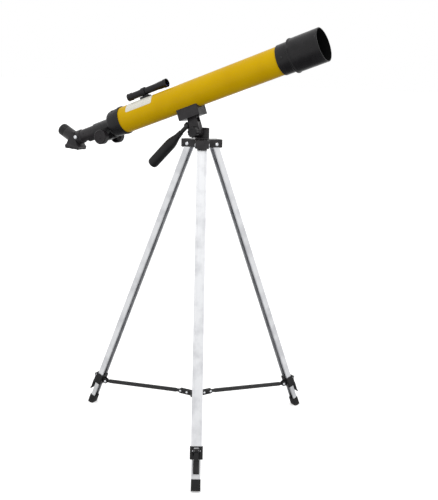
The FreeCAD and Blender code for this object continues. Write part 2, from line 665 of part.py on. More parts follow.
def scope_screws():
    """Small round-headed screws round the two cells, and the two that hold the finder's foot."""
    screws = []
    for t, radius, first in ((TUBE_FRONT + 12, CELL_R, 90), (TUBE_REAR - 12, TUBE_R + 0.9, 30)):
        for i in range(CELL_SCREWS):
            turn = FreeCAD.Rotation(X, first + 360 / CELL_SCREWS * i)
            out = turn.multVec(Z)
            screws.append(domed_head(2.4, 1.3, radius, out, V(t, 0, 0)))
    for t in (-FINDER_SCREWS / 2, FINDER_SCREWS / 2):
        screws.append(domed_head(2.0, 1.2, TUBE_R + 4.0, Z, V(FINDER_BRACKET_T + t, 0, 0)))
    node("scope_screws", *screws, place=SCOPE)


# ---- finder ----
def finder():
    bore = FINDER_R
    tall = FINDER_H
    half = FINDER_FOOT / 2
    foot_block = block((FINDER_BRACKET_T - half, FINDER_BRACKET_T + half), (-7, 7), (20, TUBE_R + 4.0))
    stalk = block((FINDER_BRACKET_T - 5, FINDER_BRACKET_T + 5), (-3, 3), (TUBE_R + 2, tall))
    band = cylinder(bore + 2.0, FINDER_BRACKET_T - 5, FINDER_BRACKET_T + 5, X, V(0, 0, tall))
    hole = cylinder(bore, -400, 0, X, V(0, 0, tall))
    bracket = without(joined(foot_block, stalk, band), hole, cylinder(TUBE_R, -400, 0))
    node("finder_bracket", bracket, place=SCOPE)
    wall = 1.2
    rear, front = FINDER_REAR, FINDER_FRONT
    bell = FINDER_BELL_R
    body = turned([(rear, 3.5), (rear, 7.6), (rear + 1, 8.6), (rear + 11, 8.6), (rear + 12, bore),
                   (front - 26, bore), (front - 18, bell - 1), (front - 8, bell - 1),
                   (front - 7.4, bell), (front, bell), (front, bell - wall), (front - 8, bell - wall),
                   (front - 8, bell - 2.4), (front - 17, bell - 2.4), (front - 26, bore - wall),
                   (rear + 6, bore - wall), (rear + 6, 3.5)])
    above = FreeCAD.Placement(V(0, 0, tall), FreeCAD.Rotation())
    node("finder_tube", moved(body, above), place=SCOPE)
    object_glass = cylinder(bell - wall, front - 7.6, front - 4.6)
    dome = Part.makeSphere(60, V(front - 4.6 - 60, 0, 0))
    eye_glass = cylinder(bore - wall, rear + 6, rear + 9)
    node("finder_lenses", moved(object_glass.common(dome), above), moved(eye_glass, above), place=SCOPE)


# ---- focuser's moving pieces ----
def draw_tube():
    inside = DRAW_R - DRAW_WALL
    collar = DRAW_REAR + DRAW_COLLAR
    tube = turned([(DRAW_REAR, NOSE_R + RUNNING), (DRAW_REAR, DRAW_R + 1.0), (DRAW_REAR + 0.8, DRAW_R + 1.8),
                   (collar - 0.8, DRAW_R + 1.8), (collar, DRAW_R + 1.0), (collar, DRAW_R),
                   (DRAW_FRONT, DRAW_R), (DRAW_FRONT, inside), (collar + 10, inside),
                   (collar + 10, NOSE_R + RUNNING)])
    screw = cylinder(1.5 + RUNNING, 5, 30, Y * -1, V(DRAW_REAR + 6.5, 0, 0))
    node("draw_tube", tube.cut(screw), place=SCOPE)


def focus_rack():
    """Straight-flanked teeth, slightly thinned so that they run free of the pinion."""
    pitch = math.pi * MODULE
    base = RACK_PITCH_H + MODULE * 1.15
    tip = RACK_PITCH_H - MODULE * 0.85
    root_half = pitch * 0.40
    tip_half = pitch * 0.09
    phase = PINION_T - pitch / 2
    first = math.ceil((RACK_REAR - phase) / pitch + 0.5)
    last = math.floor((RACK_REAR + RACK_LENGTH - phase) / pitch - 0.5)
    outline = [(RACK_REAR, -DRAW_R + 2.0), (RACK_REAR, base)]
    for i in range(first, last + 1):
        t = phase + i * pitch
        outline += [(t - root_half, base), (t - tip_half, tip), (t + tip_half, tip), (t + root_half, base)]
    outline += [(RACK_REAR + RACK_LENGTH, base), (RACK_REAR + RACK_LENGTH, -DRAW_R + 2.0)]
    rack = plate(outline, -RACK_WIDTH / 2, RACK_WIDTH / 2)
    node("focus_rack", rack.cut(cylinder(DRAW_R, -400, 0)), place=SCOPE)


def pinion_shaft():
    """The pinion and its shaft in one piece; a tooth points straight up at the rack."""
    step = 2 * math.pi / PINION_TEETH
    root = PITCH_R - MODULE * 1.1
    tip = PITCH_R + MODULE * 0.8
    outline = []
    for i in range(PINION_TEETH):
        middle = math.pi / 2 + i * step
        for share, radius in ((-0.20, root), (-0.15, PITCH_R - 0.1), (-0.06, tip), (0.06, tip),
                              (0.15, PITCH_R - 0.1), (0.20, root)):
            a = middle + share * step
            outline.append((PINION_T + radius * math.cos(a), PINION_H + radius * math.sin(a)))
    half = RACK_WIDTH / 2
    gear = plate(outline, -half, half)
    reach = KNOB_OUTER - 3.0
    shaft = cylinder(SHAFT_R, -reach, reach, Y, V(PINION_T, 0, PINION_H))
    node("pinion_shaft", gear.fuse(shaft), place=SCOPE)


def focus_knob(name, sign):
    """A cup-shaped knob with a central boss, hollow towards the housing."""
    out = KNOB_OUTER
    back = KNOB_OUTER - KNOB_THICK
    reach = out - 3.0
    cup = turned([(back, KNOB_R - 2.4), (back, KNOB_R - 0.6), (back + 1.0, KNOB_R), (out - 1.2, KNOB_R),
                  (out, KNOB_R - 1.6), (out, 0), (reach, 0), (reach, SHAFT_R), (back, SHAFT_R),
                  (back, 4.6), (out - 3.4, 4.6), (out - 3.4, KNOB_R - 2.4)])
    cup = scalloped(cup, 36, KNOB_R + 0.25, 0.7, back + 2.0, out - 2.4)
    turn = FreeCAD.Placement(V(PINION_T, 0, PINION_H), FreeCAD.Rotation(Z, 90 * sign))
    node(name, cup, place=SCOPE.multiply(turn))


def thumb_screw(reach_in, surface, length):
    """A knurled thumb screw along X: its tip at reach_in, its head standing off the surface."""
    head = cylinder(4.2, surface + 1.2, surface + 1.2 + length)
    head = scalloped(head, 18, 4.5, 0.55, surface, surface + 3 + length)
    neck = cylinder(2.4, surface + 0.3, surface + 1.4)
    return joined(head, neck, cylinder(1.5, reach_in, surface + 1))


def draw_clamp_screw():
    turn = FreeCAD.Placement(V(DRAW_REAR + 6.5, 0, 0), FreeCAD.Rotation(Z, -90))
    screw = thumb_screw(NOSE_R + 0.3, DRAW_R + 1.8, 5.5)
    node("draw_clamp_screw", screw, place=SCOPE.multiply(turn))


# ---- diagonal and eyepiece ----
def eye_frame():
    """X along the eyepiece from the bend."""
    return FreeCAD.Placement(V(BEND_T, 0, 0), FreeCAD.Rotation(Y, 180 + DEVIATION))


def cover_frame():
    """At the bend, X along the cover, forwards and down, Z square to it and up."""
    return FreeCAD.Placement(V(BEND_T, 0, 0), FreeCAD.Rotation(Y, DEVIATION / 2))


def mirrored(points):
    return points + [(-x, z) for x, z in reversed(points)]


def diagonal():
    """A five-sided prism housing, the same on both sides of the bend's bisector."""
    half = DIAGONAL_WIDTH / 2
    low = -COVER_DISTANCE
    end = COVER_LENGTH / 2
    frame = cover_frame()
    slope = math.radians(DEVIATION / 2)
    along = V(math.cos(slope), 0, math.sin(slope))
    upright = V(-math.sin(slope), 0, math.cos(slope))
    face = BEND_T * -1 + DRAW_REAR - GAP
    shoulder = along * face + upright * DRAW_R
    chest = along * face - upright * (DRAW_R + 2.5)
    outer = mirrored([(-end, low), (-end, low + 3.5), (-chest.x, chest.z), (-shoulder.x, shoulder.z)])
    shell = plate(outer, -half, half)
    corner = min(2.0, 1.3 * shoulder.x)
    shell = softened(shell, corner, lambda m, d: abs(d.y) > 0.999 and m.z > low + 5)
    wall = 2.2
    inner = mirrored([(-end + 3.5, low), (-chest.x + wall, chest.z + 0.5), (-1.5, 9.0)])
    room = plate(inner, -half + wall, half - wall)
    shell = moved(shell, frame)
    room = moved(room, frame)
    eye = eye_frame()
    nose_end = DRAW_REAR + 20
    nose = cylinder(NOSE_R, BEND_T + face - 2, nose_end)
    holder = moved(cylinder(HOLDER_R, face - 2, HOLDER_END), eye)
    light = cylinder(NOSE_R - 1.4, BEND_T + 3, nose_end + 1)
    eye_bore = moved(cylinder(NOSE_R + RUNNING, 11.5, HOLDER_END + 1), eye)
    eye_light = moved(cylinder(NOSE_R - 2.0, 6, 12), eye)
    screw = moved(cylinder(1.5 + RUNNING, 5, 30, Y, V(22, 0, 0)), eye)
    body = joined(shell, nose, holder)
    node("diagonal_housing", without(body, room, light, eye_bore, eye_light, screw), place=SCOPE)
    cover = block((-end, end), (-half, half), (low - COVER_THICK, low))
    cover = softened(cover, 1.5, along_axis(Z))
    node("diagonal_cover", moved(cover, frame), place=SCOPE)
    glass = plate(mirrored([(-end + 4.6, low + 0.3), (-11.0, -11.0), (-4.6, 1.5)]), -10.5, 10.5)
    node("erecting_prism", moved(glass, frame), place=SCOPE)
    heads = []
    for x in (-end + 3.5, 0, end - 3.5):
        for y in (-half + 3.5, half - 3.5):
            heads.append(moved(domed_head(2.0, 1.3, 0, Z * -1, V(x, y, low - COVER_THICK)), frame))
    node("diagonal_screws", *heads, place=SCOPE)


def eyepiece():
    place = SCOPE.multiply(eye_frame())
    low = 12.5
    top = EYEPIECE_END
    wall = 1.2
    body = turned([(low, NOSE_R - wall), (low, NOSE_R), (HOLDER_END, NOSE_R), (HOLDER_END, HOLDER_R - 0.8),
                   (HOLDER_END + 0.8, HOLDER_R), (top - 6.0, HOLDER_R), (top - 2.2, HOLDER_R - 1.4),
                   (top, HOLDER_R - 4.4), (top, 8.0), (top - 2.5, 6.2), (top - 6.5, 6.2),
                   (top - 6.5, NOSE_R - wall)])
    node("eyepiece", body, place=place)
    bulge = Part.makeSphere(30, V(top - 3.2 - 30, 0, 0))
    eye_lens = cylinder(6.2, top - 6.4, top - 2.6).common(bulge)
    field = Part.makeSphere(40, V(low + 4 + 40, 0, 0))
    field_lens = cylinder(NOSE_R - wall, low + 4, low + 8).common(field)
    node("eyepiece_lenses", eye_lens, field_lens, place=place)
    turn = FreeCAD.Placement(V(22, 0, 0), FreeCAD.Rotation(Z, 90))
    screw = thumb_screw(NOSE_R + 0.3, HOLDER_R, 5.5)
    node("eyepiece_clamp_screw", screw, place=place.multiply(turn))


def build():
    crown()
    leg_rivets()
    for side, azimuth in LEG_NAMES.items():
        place = leg_frame(azimuth)
        outer_leg(side, place)
        leg_collar(side, place)
        collar_pins(side, place)
        lock_lever(side, place)
        inner_leg(side, place)
        foot(side, place)
        spreader_arm(side, azimuth)
    spreader_hub()
    pan_base()
    pan_bolt()
    tilt_bolt()
    tilt_knob()
    tilt_column()
    mount_screw()
    handle()
    main_tube()
    objective()
    dew_shield()
    rear_cell()
    focuser_housing()
    saddle_block()
    scope_screws()
    finder()
    draw_tube()
    focus_rack()
    pinion_shaft()
    focus_knob("focus_knob_right", -1)
    focus_knob("focus_knob_left", 1)
    draw_clamp_screw()
    diagonal()
    eyepiece()


build()

# The origin goes to the bottom centre of the whole model's box.
whole = FreeCAD.BoundBox()
for shape in NODES.values():
    whole.add(shape.optimalBoundingBox(False))
ORIGIN = V((whole.XMin + whole.XMax) / 2, (whole.YMin + whole.YMax) / 2, whole.ZMin)
home = FreeCAD.Placement(ORIGIN * -1, FreeCAD.Rotation())

os.makedirs("parts", exist_ok=True)
for name, shape in NODES.items():
    moved(shape, home).exportStep("parts/" + name + ".step")
print(len(NODES), "nodes, box", round(whole.XLength, 1), round(whole.YLength, 1), round(whole.ZLength, 1))
print("origin shift", ORIGIN, "arm", ARM_LENGTH, ARM_REST, ARM_FOLDED, "hub lift", HUB_LIFT)
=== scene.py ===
import math

import bmesh
import bpy
from mathutils import Matrix, Vector


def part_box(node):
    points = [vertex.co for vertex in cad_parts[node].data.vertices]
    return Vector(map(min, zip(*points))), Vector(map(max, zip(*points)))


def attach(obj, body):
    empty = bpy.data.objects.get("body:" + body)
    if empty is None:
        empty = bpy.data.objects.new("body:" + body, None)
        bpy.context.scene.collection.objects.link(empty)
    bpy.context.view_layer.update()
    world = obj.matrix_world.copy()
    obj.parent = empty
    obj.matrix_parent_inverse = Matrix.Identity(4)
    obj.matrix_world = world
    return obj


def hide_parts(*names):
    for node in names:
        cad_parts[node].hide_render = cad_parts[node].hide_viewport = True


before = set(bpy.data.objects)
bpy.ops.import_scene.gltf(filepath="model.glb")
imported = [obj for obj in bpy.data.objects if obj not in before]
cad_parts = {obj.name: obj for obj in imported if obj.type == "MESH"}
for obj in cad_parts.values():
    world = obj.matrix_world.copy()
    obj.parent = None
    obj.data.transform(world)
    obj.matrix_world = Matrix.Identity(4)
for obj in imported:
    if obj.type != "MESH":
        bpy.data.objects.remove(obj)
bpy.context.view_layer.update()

# A 50 mm refractor on a light folding tripod. Sizes are in millimetres and become metres in
# the meshes. Turned pieces are drawn along X, legs along Z, each in its own frame.

MM = 0.001

ELEVATION = 20          # degrees that the telescope is tipped up by
SPLAY = 22              # degrees of a leg from the vertical
AZIMUTH = {"right": -60, "left": 60, "rear": 180}
HINGE_RADIUS = 28.6

# ---- the telescope, along and out from its optical axis ----
TUBE_R = 29.0
TUBE_INSIDE = TUBE_R - 1.0
TUBE_ENDS = (-215, 187)
CELL_R = 30.8
LENS_SEAT = 203.0       # the ledge in the front cell that the objective lies on
SHIELD_R = 34.0
SHIELD_ENDS = (213, 279)
REAR_END = -242
DRAW_R = 14.0
DRAW_ENDS = (-345, -180)
NOSE_R = 12.25          # the barrels of the diagonal and of the eyepiece
PINION_AT = (-262, -21.8)
KNOB_R = 16.0
KNOB_FACE = 38.0
BEND_T = -354           # where the light turns in the diagonal
DEVIATION = 48          # degrees that it turns by
HOLDER_R = 14.0
EYE_TOP = 47.0
EYE_SCREW_T = 22
THUMB_RISE = (5.75, 3.95)       # middle of a thumb screw's head above the draw collar and the holder
FINDER_H = 42.5
FINDER_ENDS = (-184, -79)
FINDER_BELL = 9.3
FINDER_FOOT = -141
FINDER_SCREWS = 15

# ---- the head, the legs and the spreader ----
SADDLE_BOTTOM = -46.0
WHEEL_DROP = 7.5        # the mount screw's wheel below the saddle
HANDLE_ROOT = (-11, -8.6)       # from the tilt axis along the tube, and from the saddle's underside
HANDLE_FALL = 25.2      # degrees of the handle below the tube
LEG_RIVET_REACH = 14.2
OUTER_LEG = (-631.5, 4.0)
INNER_LEG = (-691.5, -40.0)
ARM_PIN = (-16.0, -623.5)
LEVER_PIN = (11.2, -619.5)
ARM_PIN_REACH = 5.0
HUB_RIVETS = (21, 38)
HUB_HALF = 4.0


# ---- places, read from the frame ----
def middle(node):
    low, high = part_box(node)
    return (low + high) / 2


def turned(degrees, axis):
    return Matrix.Rotation(math.radians(degrees), 4, axis)


def moved(x, y=0.0, z=0.0):
    return Matrix.Translation(Vector((x, y, z)) * MM)


def at(point):
    return Matrix.Translation(point)


AXIS = Vector((middle("pan_bolt").x, 0, 0))
HINGE_Z = middle("leg_rivets").z / MM
SCOPE = at(middle("main_tube")) @ turned(-ELEVATION, "Y") @ moved(-sum(TUBE_ENDS) / 2)
PINION = SCOPE @ moved(PINION_AT[0], 0, PINION_AT[1])
TILT_AXIS = at(middle("tilt_knob"))
PIVOT = SCOPE.inverted() @ middle("tilt_bolt") / MM        # the tilt axis in the telescope's frame
HANDLE_START = moved(PIVOT.x + HANDLE_ROOT[0], 0, SADDLE_BOTTOM + HANDLE_ROOT[1])
HANDLE = SCOPE @ HANDLE_START @ turned(180 - HANDLE_FALL, "Y")
MOUNT = SCOPE @ moved(PIVOT.x, 0, SADDLE_BOTTOM - WHEEL_DROP) @ turned(-90, "Y")
BEND = SCOPE @ moved(BEND_T)
EYE = BEND @ turned(180 + DEVIATION, "Y")
COVER = BEND @ turned(DEVIATION / 2, "Y")
DRAW_SCREW_OUT = DRAW_R + THUMB_RISE[0]
EYE_SCREW_OUT = HOLDER_R + THUMB_RISE[1]
DRAW_SCREW = SCOPE @ moved(DRAW_ENDS[0] + 6.5) @ turned(-90, "Z") @ moved(DRAW_SCREW_OUT)
EYE_SCREW = EYE @ moved(EYE_SCREW_T) @ turned(90, "Z") @ moved(EYE_SCREW_OUT)
FINDER = SCOPE @ moved(0, 0, FINDER_H)


def leg_frame(side):
    """X outward, Y across, Z up along the leg, from its hinge."""
    return at(AXIS) @ turned(AZIMUTH[side], "Z") @ moved(HINGE_RADIUS, 0, HINGE_Z) @ turned(-SPLAY, "Y")


# ---- mesh helpers ----
def eased(outline, size, steps=4):
    """A closed outline with each real corner rounded, and a guard point on either side of it."""
    points = [Vector(p) for p in outline]
    smooth = []
    for before, corner, after in zip(points[-1:] + points, points, points[1:] + points[:1]):
        into, out = corner - before, after - corner
        room = min(size, 0.4 * into.length, 0.4 * out.length)
        if abs(into.angle(out)) < math.radians(12) or abs(corner.y) < 1e-6 or room < 0.02:
            smooth.append(corner)
            continue
        start, end = corner - into.normalized() * room, corner + out.normalized() * room
        smooth.append(start - into.normalized() * room * 0.2)
        for i in range(steps + 1):
            s = i / steps
            smooth.append(start * (1 - s) ** 2 + corner * 2 * s * (1 - s) + end * s ** 2)
        smooth.append(end + out.normalized() * room * 0.2)
    return smooth


def lathe(outline, sides=96, ease=0.35, ripple=None):
    """A turned piece about X from a closed outline of (along, radius) in millimetres."""
    mesh = bmesh.new()
    rings = []
    for along, radius in eased(outline, ease):
        if radius < 1e-6:
            rings.append([mesh.verts.new((along * MM, 0, 0))])
            continue
        ring = []
        for k in range(sides):
            a = 2 * math.pi * k / sides
            r = radius + (ripple(a, along, radius) if ripple else 0)
            ring.append(mesh.verts.new((along * MM, r * math.cos(a) * MM, r * math.sin(a) * MM)))
        rings.append(ring)
    for a, b in zip(rings, rings[1:] + rings[:1]):
        for k in range(sides):
            corners = [a[k % len(a)], a[(k + 1) % len(a)], b[(k + 1) % len(b)], b[k % len(b)]]
            corners = list(dict.fromkeys(corners))
            if len(corners) > 2 and not mesh.faces.get(corners):
                mesh.faces.new(corners)
    bmesh.ops.recalc_face_normals(mesh, faces=mesh.faces)
    return to_mesh(mesh)


def extruded(outline, low, high, ease=0.0):
    """A straight piece along Z from a closed outline of (x, y) in millimetres."""
    mesh = bmesh.new()
    points = eased(outline, ease) if ease else [Vector(p) for p in outline]
    ends = [[mesh.verts.new((p.x * MM, p.y * MM, z * MM)) for p in points] for z in (low, high)]
    mesh.faces.new(ends[0])
    mesh.faces.new(ends[1])
    for k in range(len(points)):
        n = (k + 1) % len(points)
        mesh.faces.new((ends[0][k], ends[0][n], ends[1][n], ends[1][k]))
    bmesh.ops.recalc_face_normals(mesh, faces=mesh.faces)
    return to_mesh(mesh)


def to_mesh(mesh):
    data = bpy.data.meshes.new("shape")
    mesh.to_mesh(data)
    mesh.free()
    return data


def placed(data, place):
    data.transform(place)
    if place.determinant() < 0:
        data.flip_normals()
    return data


def baked(holder):
    """The evaluated mesh of a helper object, which is then thrown away."""
    graph = bpy.context.evaluated_depsgraph_get()
    data = bpy.data.meshes.new_from_object(holder.evaluated_get(graph))
    bpy.data.objects.remove(holder)
    return data


def holder_for(data):
    holder = bpy.data.objects.new("helper", data)
    bpy.context.scene.collection.objects.link(holder)
    return holder


def cad_shape(node, ease=0.35):
    """A copy of a CAD node, welded, with its flat faces made whole and its sharp edges eased."""
    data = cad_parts[node].data.copy()
    data.materials.clear()
    mesh = bmesh.new()
    mesh.from_mesh(data)
    bmesh.ops.remove_doubles(mesh, verts=mesh.verts, dist=2e-6)
    bmesh.ops.dissolve_limit(mesh, angle_limit=math.radians(0.6), verts=mesh.verts, edges=mesh.edges)
    mesh.to_mesh(data)
    mesh.free()
    holder = holder_for(data)
    bevel = holder.modifiers.new("ease", "BEVEL")
    bevel.width = ease * MM
    bevel.segments = 2
    bevel.limit_method = "ANGLE"
    bevel.angle_limit = math.radians(38)
    bevel.harden_normals = True
    return baked(holder)


def piece(name, body, parts, stands_for=(), local=None, smooth=38):
    """Joins (mesh, material) pairs into one named piece that rides on a body."""
    joined = bmesh.new()
    materials = []
    for data, material in parts:
        if material not in materials:
            materials.append(material)
        first = len(joined.faces)
        joined.from_mesh(data)
        joined.faces.ensure_lookup_table()
        for face in joined.faces[first:]:
            face.material_index = materials.index(material)
    data = to_mesh(joined)
    for material in materials:
        data.materials.append(material)
    data.shade_smooth()
    data.set_sharp_from_angle(angle=math.radians(smooth))
    back = (local or Matrix.Identity(4)).inverted()
    own = data.attributes.new("own_place", "FLOAT_VECTOR", "POINT")
    for i, vertex in enumerate(data.vertices):
        own.data[i].vector = back @ vertex.co
    made = bpy.data.objects.new(name, data)
    bpy.context.scene.collection.objects.link(made)
    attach(made, body)
    if stands_for:
        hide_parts(*stands_for)
    return made


# ---- repeated things, by Geometry Nodes ----
def put(tree, kind, inputs=(), **settings):
    """Adds a node. An input's value is a number, a colour or another node's output."""
    made = tree.nodes.new(kind)
    for key, value in settings.items():
        setattr(made, key, value)
    for key, value in dict(inputs).items():
        if isinstance(value, bpy.types.NodeSocket):
            tree.links.new(value, made.inputs[key])
        else:
            made.inputs[key].default_value = value
    return made


def new_tree(name, inputs):
    """A geometry tree with these named inputs, its input node and its output node."""
    tree = bpy.data.node_groups.new(name, "GeometryNodeTree")
    for label, kind in inputs:
        tree.interface.new_socket(label, in_out="INPUT", socket_type=kind)
    tree.interface.new_socket("Geometry", in_out="OUTPUT", socket_type="NodeSocketGeometry")
    return tree, put(tree, "NodeGroupInput"), put(tree, "NodeGroupOutput")


def close_tree(tree, given, points, rotation, output):
    """Puts the given piece on each point, makes the copies real and gives them their material."""
    source = put(tree, "GeometryNodeObjectInfo", {"Object": given.outputs["Piece"]})
    copies = put(tree, "GeometryNodeInstanceOnPoints",
                 {"Points": points, "Instance": source.outputs["Geometry"], "Rotation": rotation})
    real = put(tree, "GeometryNodeRealizeInstances", {"Geometry": copies.outputs["Instances"]})
    dressed = put(tree, "GeometryNodeSetMaterial",
                  {"Geometry": real.outputs["Geometry"], "Material": given.outputs["Material"]})
    tree.links.new(dressed.outputs["Geometry"], output.inputs["Geometry"])
    return tree


def ring_tree():
    """Copies of a piece round the X axis, their own Z pointing outwards."""
    tree, given, output = new_tree("copies in a ring", [
        ("Piece", "NodeSocketObject"), ("Count", "NodeSocketInt"), ("Radius", "NodeSocketFloat"),
        ("Material", "NodeSocketMaterial")])
    circle = put(tree, "GeometryNodeMeshCircle",
                 {"Vertices": given.outputs["Count"], "Radius": given.outputs["Radius"]})
    upright = put(tree, "GeometryNodeTransform", {"Geometry": circle.outputs["Mesh"],
                                                  "Rotation": (0, math.pi / 2, 0)})
    place = put(tree, "GeometryNodeInputPosition")
    facing = put(tree, "FunctionNodeAxesToRotation",
                 {"Primary Axis": place.outputs["Position"], "Secondary Axis": (1, 0, 0)},
                 primary_axis="Z", secondary_axis="X")
    return close_tree(tree, given, upright.outputs["Geometry"], facing.outputs["Rotation"], output)


def row_tree():
    """Copies of a piece in a straight row along X."""
    tree, given, output = new_tree("copies in a row", [
        ("Piece", "NodeSocketObject"), ("Count", "NodeSocketInt"), ("Step", "NodeSocketFloat"),
        ("Material", "NodeSocketMaterial")])
    offset = put(tree, "ShaderNodeCombineXYZ", {"X": given.outputs["Step"]})
    line = put(tree, "GeometryNodeMeshLine",
               {"Count": given.outputs["Count"], "Offset": offset.outputs["Vector"]})
    return close_tree(tree, given, line.outputs["Mesh"], (0, 0, 0), output)


RING = ring_tree()
ROW = row_tree()


def repeated(tree, shape, material, place, **inputs):
    """The real mesh that a tree makes from a shape, put in its place."""
    source = holder_for(shape)
    holder = holder_for(bpy.data.meshes.new("copies"))
    nodes = holder.modifiers.new("copies", "NODES")
    nodes.node_group = tree
    wanted = dict(inputs, Piece=source, Material=material)
    for item in tree.interface.items_tree:
        if item.in_out == "INPUT":
            nodes[item.identifier] = wanted[item.name]
    data = baked(holder)
    bpy.data.objects.remove(source)
    return placed(data, place)


# ---- materials ----
def linear(code):
    """An sRGB hex colour as Blender's linear colour."""
    parts = [int(code[i:i + 2], 16) / 255 for i in (1, 3, 5)]
    return [p / 12.92 if p <= 0.04045 else ((p + 0.055) / 1.055) ** 2.4 for p in parts] + [1.0]


def new_material(name, **sockets):
    """A material with a Principled shader, its constant sockets set, its tree and its shader."""
    made = bpy.data.materials.new(name)
    made.use_nodes = True
    shader = made.node_tree.nodes["Principled BSDF"]
    for key, value in sockets.items():
        shader.inputs[key.replace("_", " ")].default_value = value
    return made, made.node_tree, shader


def mottled_colour(tree, shader, place, size, first, second, detail=2.0):
    """A base colour that drifts between two tones in blotches of this many millimetres."""
    blotch = put(tree, "ShaderNodeTexNoise", {"Vector": place, "Scale": 1 / (size * MM), "Detail": detail})
    amount = put(tree, "ShaderNodeMapRange", {"Value": blotch.outputs["Fac"], "From Min": 0.35,
                                              "From Max": 0.65})
    colour = put(tree, "ShaderNodeMix", {0: amount.outputs["Result"], 6: linear(first), 7: linear(second)},
                 data_type="RGBA")
    tree.links.new(colour.outputs[2], shader.inputs["Base Color"])


def uneven_gloss(tree, shader, place, size, low, high):
    """Roughness that wanders between two values, as a handled or sprayed surface's does."""
    blotch = put(tree, "ShaderNodeTexNoise", {"Vector": place, "Scale": 1 / (size * MM), "Detail": 4.0})
    rough = put(tree, "ShaderNodeMapRange", {"Value": blotch.outputs["Fac"], "From Min": 0.35,
                                             "From Max": 0.65, "To Min": low, "To Max": high})
    tree.links.new(rough.outputs["Result"], shader.inputs["Roughness"])


def surface_grain(tree, shader, place, size, depth, strength=0.6):
    """A fine relief with grains of this many millimetres, and this deep."""
    grains = put(tree, "ShaderNodeTexNoise", {"Vector": place, "Scale": 1 / (size * MM), "Detail": 3.0})
    bump = put(tree, "ShaderNodeBump", {"Height": grains.outputs["Fac"], "Distance": depth * MM,
                                        "Strength": strength})
    tree.links.new(bump.outputs["Normal"], shader.inputs["Normal"])


def stoved_enamel():
    """Sprayed and baked gloss enamel on aluminium tube: an even colour that drifts a little,
    a soft wide highlight along the top, and faint orange peel that breaks its edge."""
    made, tree, shader = new_material("stoved_enamel_mustard", IOR=1.5, Specular_IOR_Level=0.06,
                                      Coat_Weight=0.06, Coat_Roughness=0.18, Coat_IOR=1.4)
    place = put(tree, "ShaderNodeTexCoord").outputs["Object"]
    mottled_colour(tree, shader, place, 70, "#c8a100", "#c19900")
    uneven_gloss(tree, shader, place, 9, 0.30, 0.40)
    surface_grain(tree, shader, place, 1.6, 0.02, 0.5)
    return made


def moulded_plastic(name, dark, light, rough, grain=0.7, depth=0.02):
    """Injection-moulded ABS from a spark-eroded mould: a fine even grain that spreads the
    highlight, with smoother handled patches. The grain is drawn about twice its real size."""
    made, tree, shader = new_material(name, IOR=1.53, Specular_IOR_Level=0.25)
    place = put(tree, "ShaderNodeTexCoord").outputs["Object"]
    mottled_colour(tree, shader, place, 14, dark, light, 3.0)
    uneven_gloss(tree, shader, place, 5, rough - 0.06, rough + 0.07)
    surface_grain(tree, shader, place, grain, depth)
    return made


def flat_black_paint():
    """Dead black paint inside the light path: no highlight at all, only a faint mottle."""
    made, tree, shader = new_material("flat_black_lining", Specular_IOR_Level=0.1)
    place = put(tree, "ShaderNodeTexCoord").outputs["Object"]
    mottled_colour(tree, shader, place, 1.2, "#060606", "#0b0b0c")
    uneven_gloss(tree, shader, place, 4, 0.92, 0.98)
    return made


def drawn_aluminium(name, light, dark, rough=0.34):
    """Extruded and satin-anodised aluminium: bright and soft, with hair-fine die lines that run
    down the leg, drawn coarser than real so that they show, and a few handling marks."""
    made, tree, shader = new_material(name, Metallic=1.0)
    own = put(tree, "ShaderNodeAttribute", attribute_name="own_place").outputs["Vector"]
    lengthwise = put(tree, "ShaderNodeMapping", {"Vector": own, "Scale": (1, 1, 0.012)}).outputs["Vector"]
    die_lines = put(tree, "ShaderNodeTexNoise", {"Vector": lengthwise, "Scale": 1 / (0.5 * MM),
                                                 "Detail": 3.0}).outputs["Fac"]
    marks = put(tree, "ShaderNodeTexNoise", {"Vector": own, "Scale": 1 / (30 * MM), "Detail": 4.0})
    rubbed = put(tree, "ShaderNodeMapRange", {"Value": marks.outputs["Fac"], "From Min": 0.45,
                                              "From Max": 0.75})
    tone = put(tree, "ShaderNodeMath", {0: die_lines, 1: 0.6, 2: rubbed.outputs["Result"]},
               operation="MULTIPLY_ADD", use_clamp=True)
    colour = put(tree, "ShaderNodeMix", {0: tone.outputs["Value"], 6: linear(light), 7: linear(dark)},
                 data_type="RGBA")
    tree.links.new(colour.outputs[2], shader.inputs["Base Color"])
    gloss = put(tree, "ShaderNodeMapRange", {"Value": die_lines, "From Min": 0.35, "From Max": 0.65,
                                             "To Min": rough - 0.06, "To Max": rough + 0.08})
    tree.links.new(gloss.outputs["Result"], shader.inputs["Roughness"])
    scored = put(tree, "ShaderNodeBump", {"Height": die_lines, "Distance": 0.006 * MM, "Strength": 0.5})
    tree.links.new(scored.outputs["Normal"], shader.inputs["Normal"])
    return made


def bright_plating():
    """Nickel-chrome plating on turned steel: mirror bright, with polishing haze and fine pits."""
    made, tree, shader = new_material("bright_chrome_plating", Metallic=1.0)
    place = put(tree, "ShaderNodeTexCoord").outputs["Object"]
    mottled_colour(tree, shader, place, 2.5, "#e8e9ec", "#c9cbd0", 3.0)
    uneven_gloss(tree, shader, place, 1.5, 0.10, 0.24)
    surface_grain(tree, shader, place, 0.4, 0.003, 0.4)
    return made


def black_lacquer():
    """Dipped black lacquer on pressed steel: a soft sheen on a slightly wavy skin."""
    made, tree, shader = new_material("black_lacquer", IOR=1.5, Specular_IOR_Level=0.3,
                                      Coat_Weight=0.2, Coat_Roughness=0.25)
    place = put(tree, "ShaderNodeTexCoord").outputs["Object"]
    mottled_colour(tree, shader, place, 12, "#19191a", "#242425", 3.0)
    uneven_gloss(tree, shader, place, 4, 0.34, 0.48)
    surface_grain(tree, shader, place, 2.2, 0.02, 0.5)
    return made


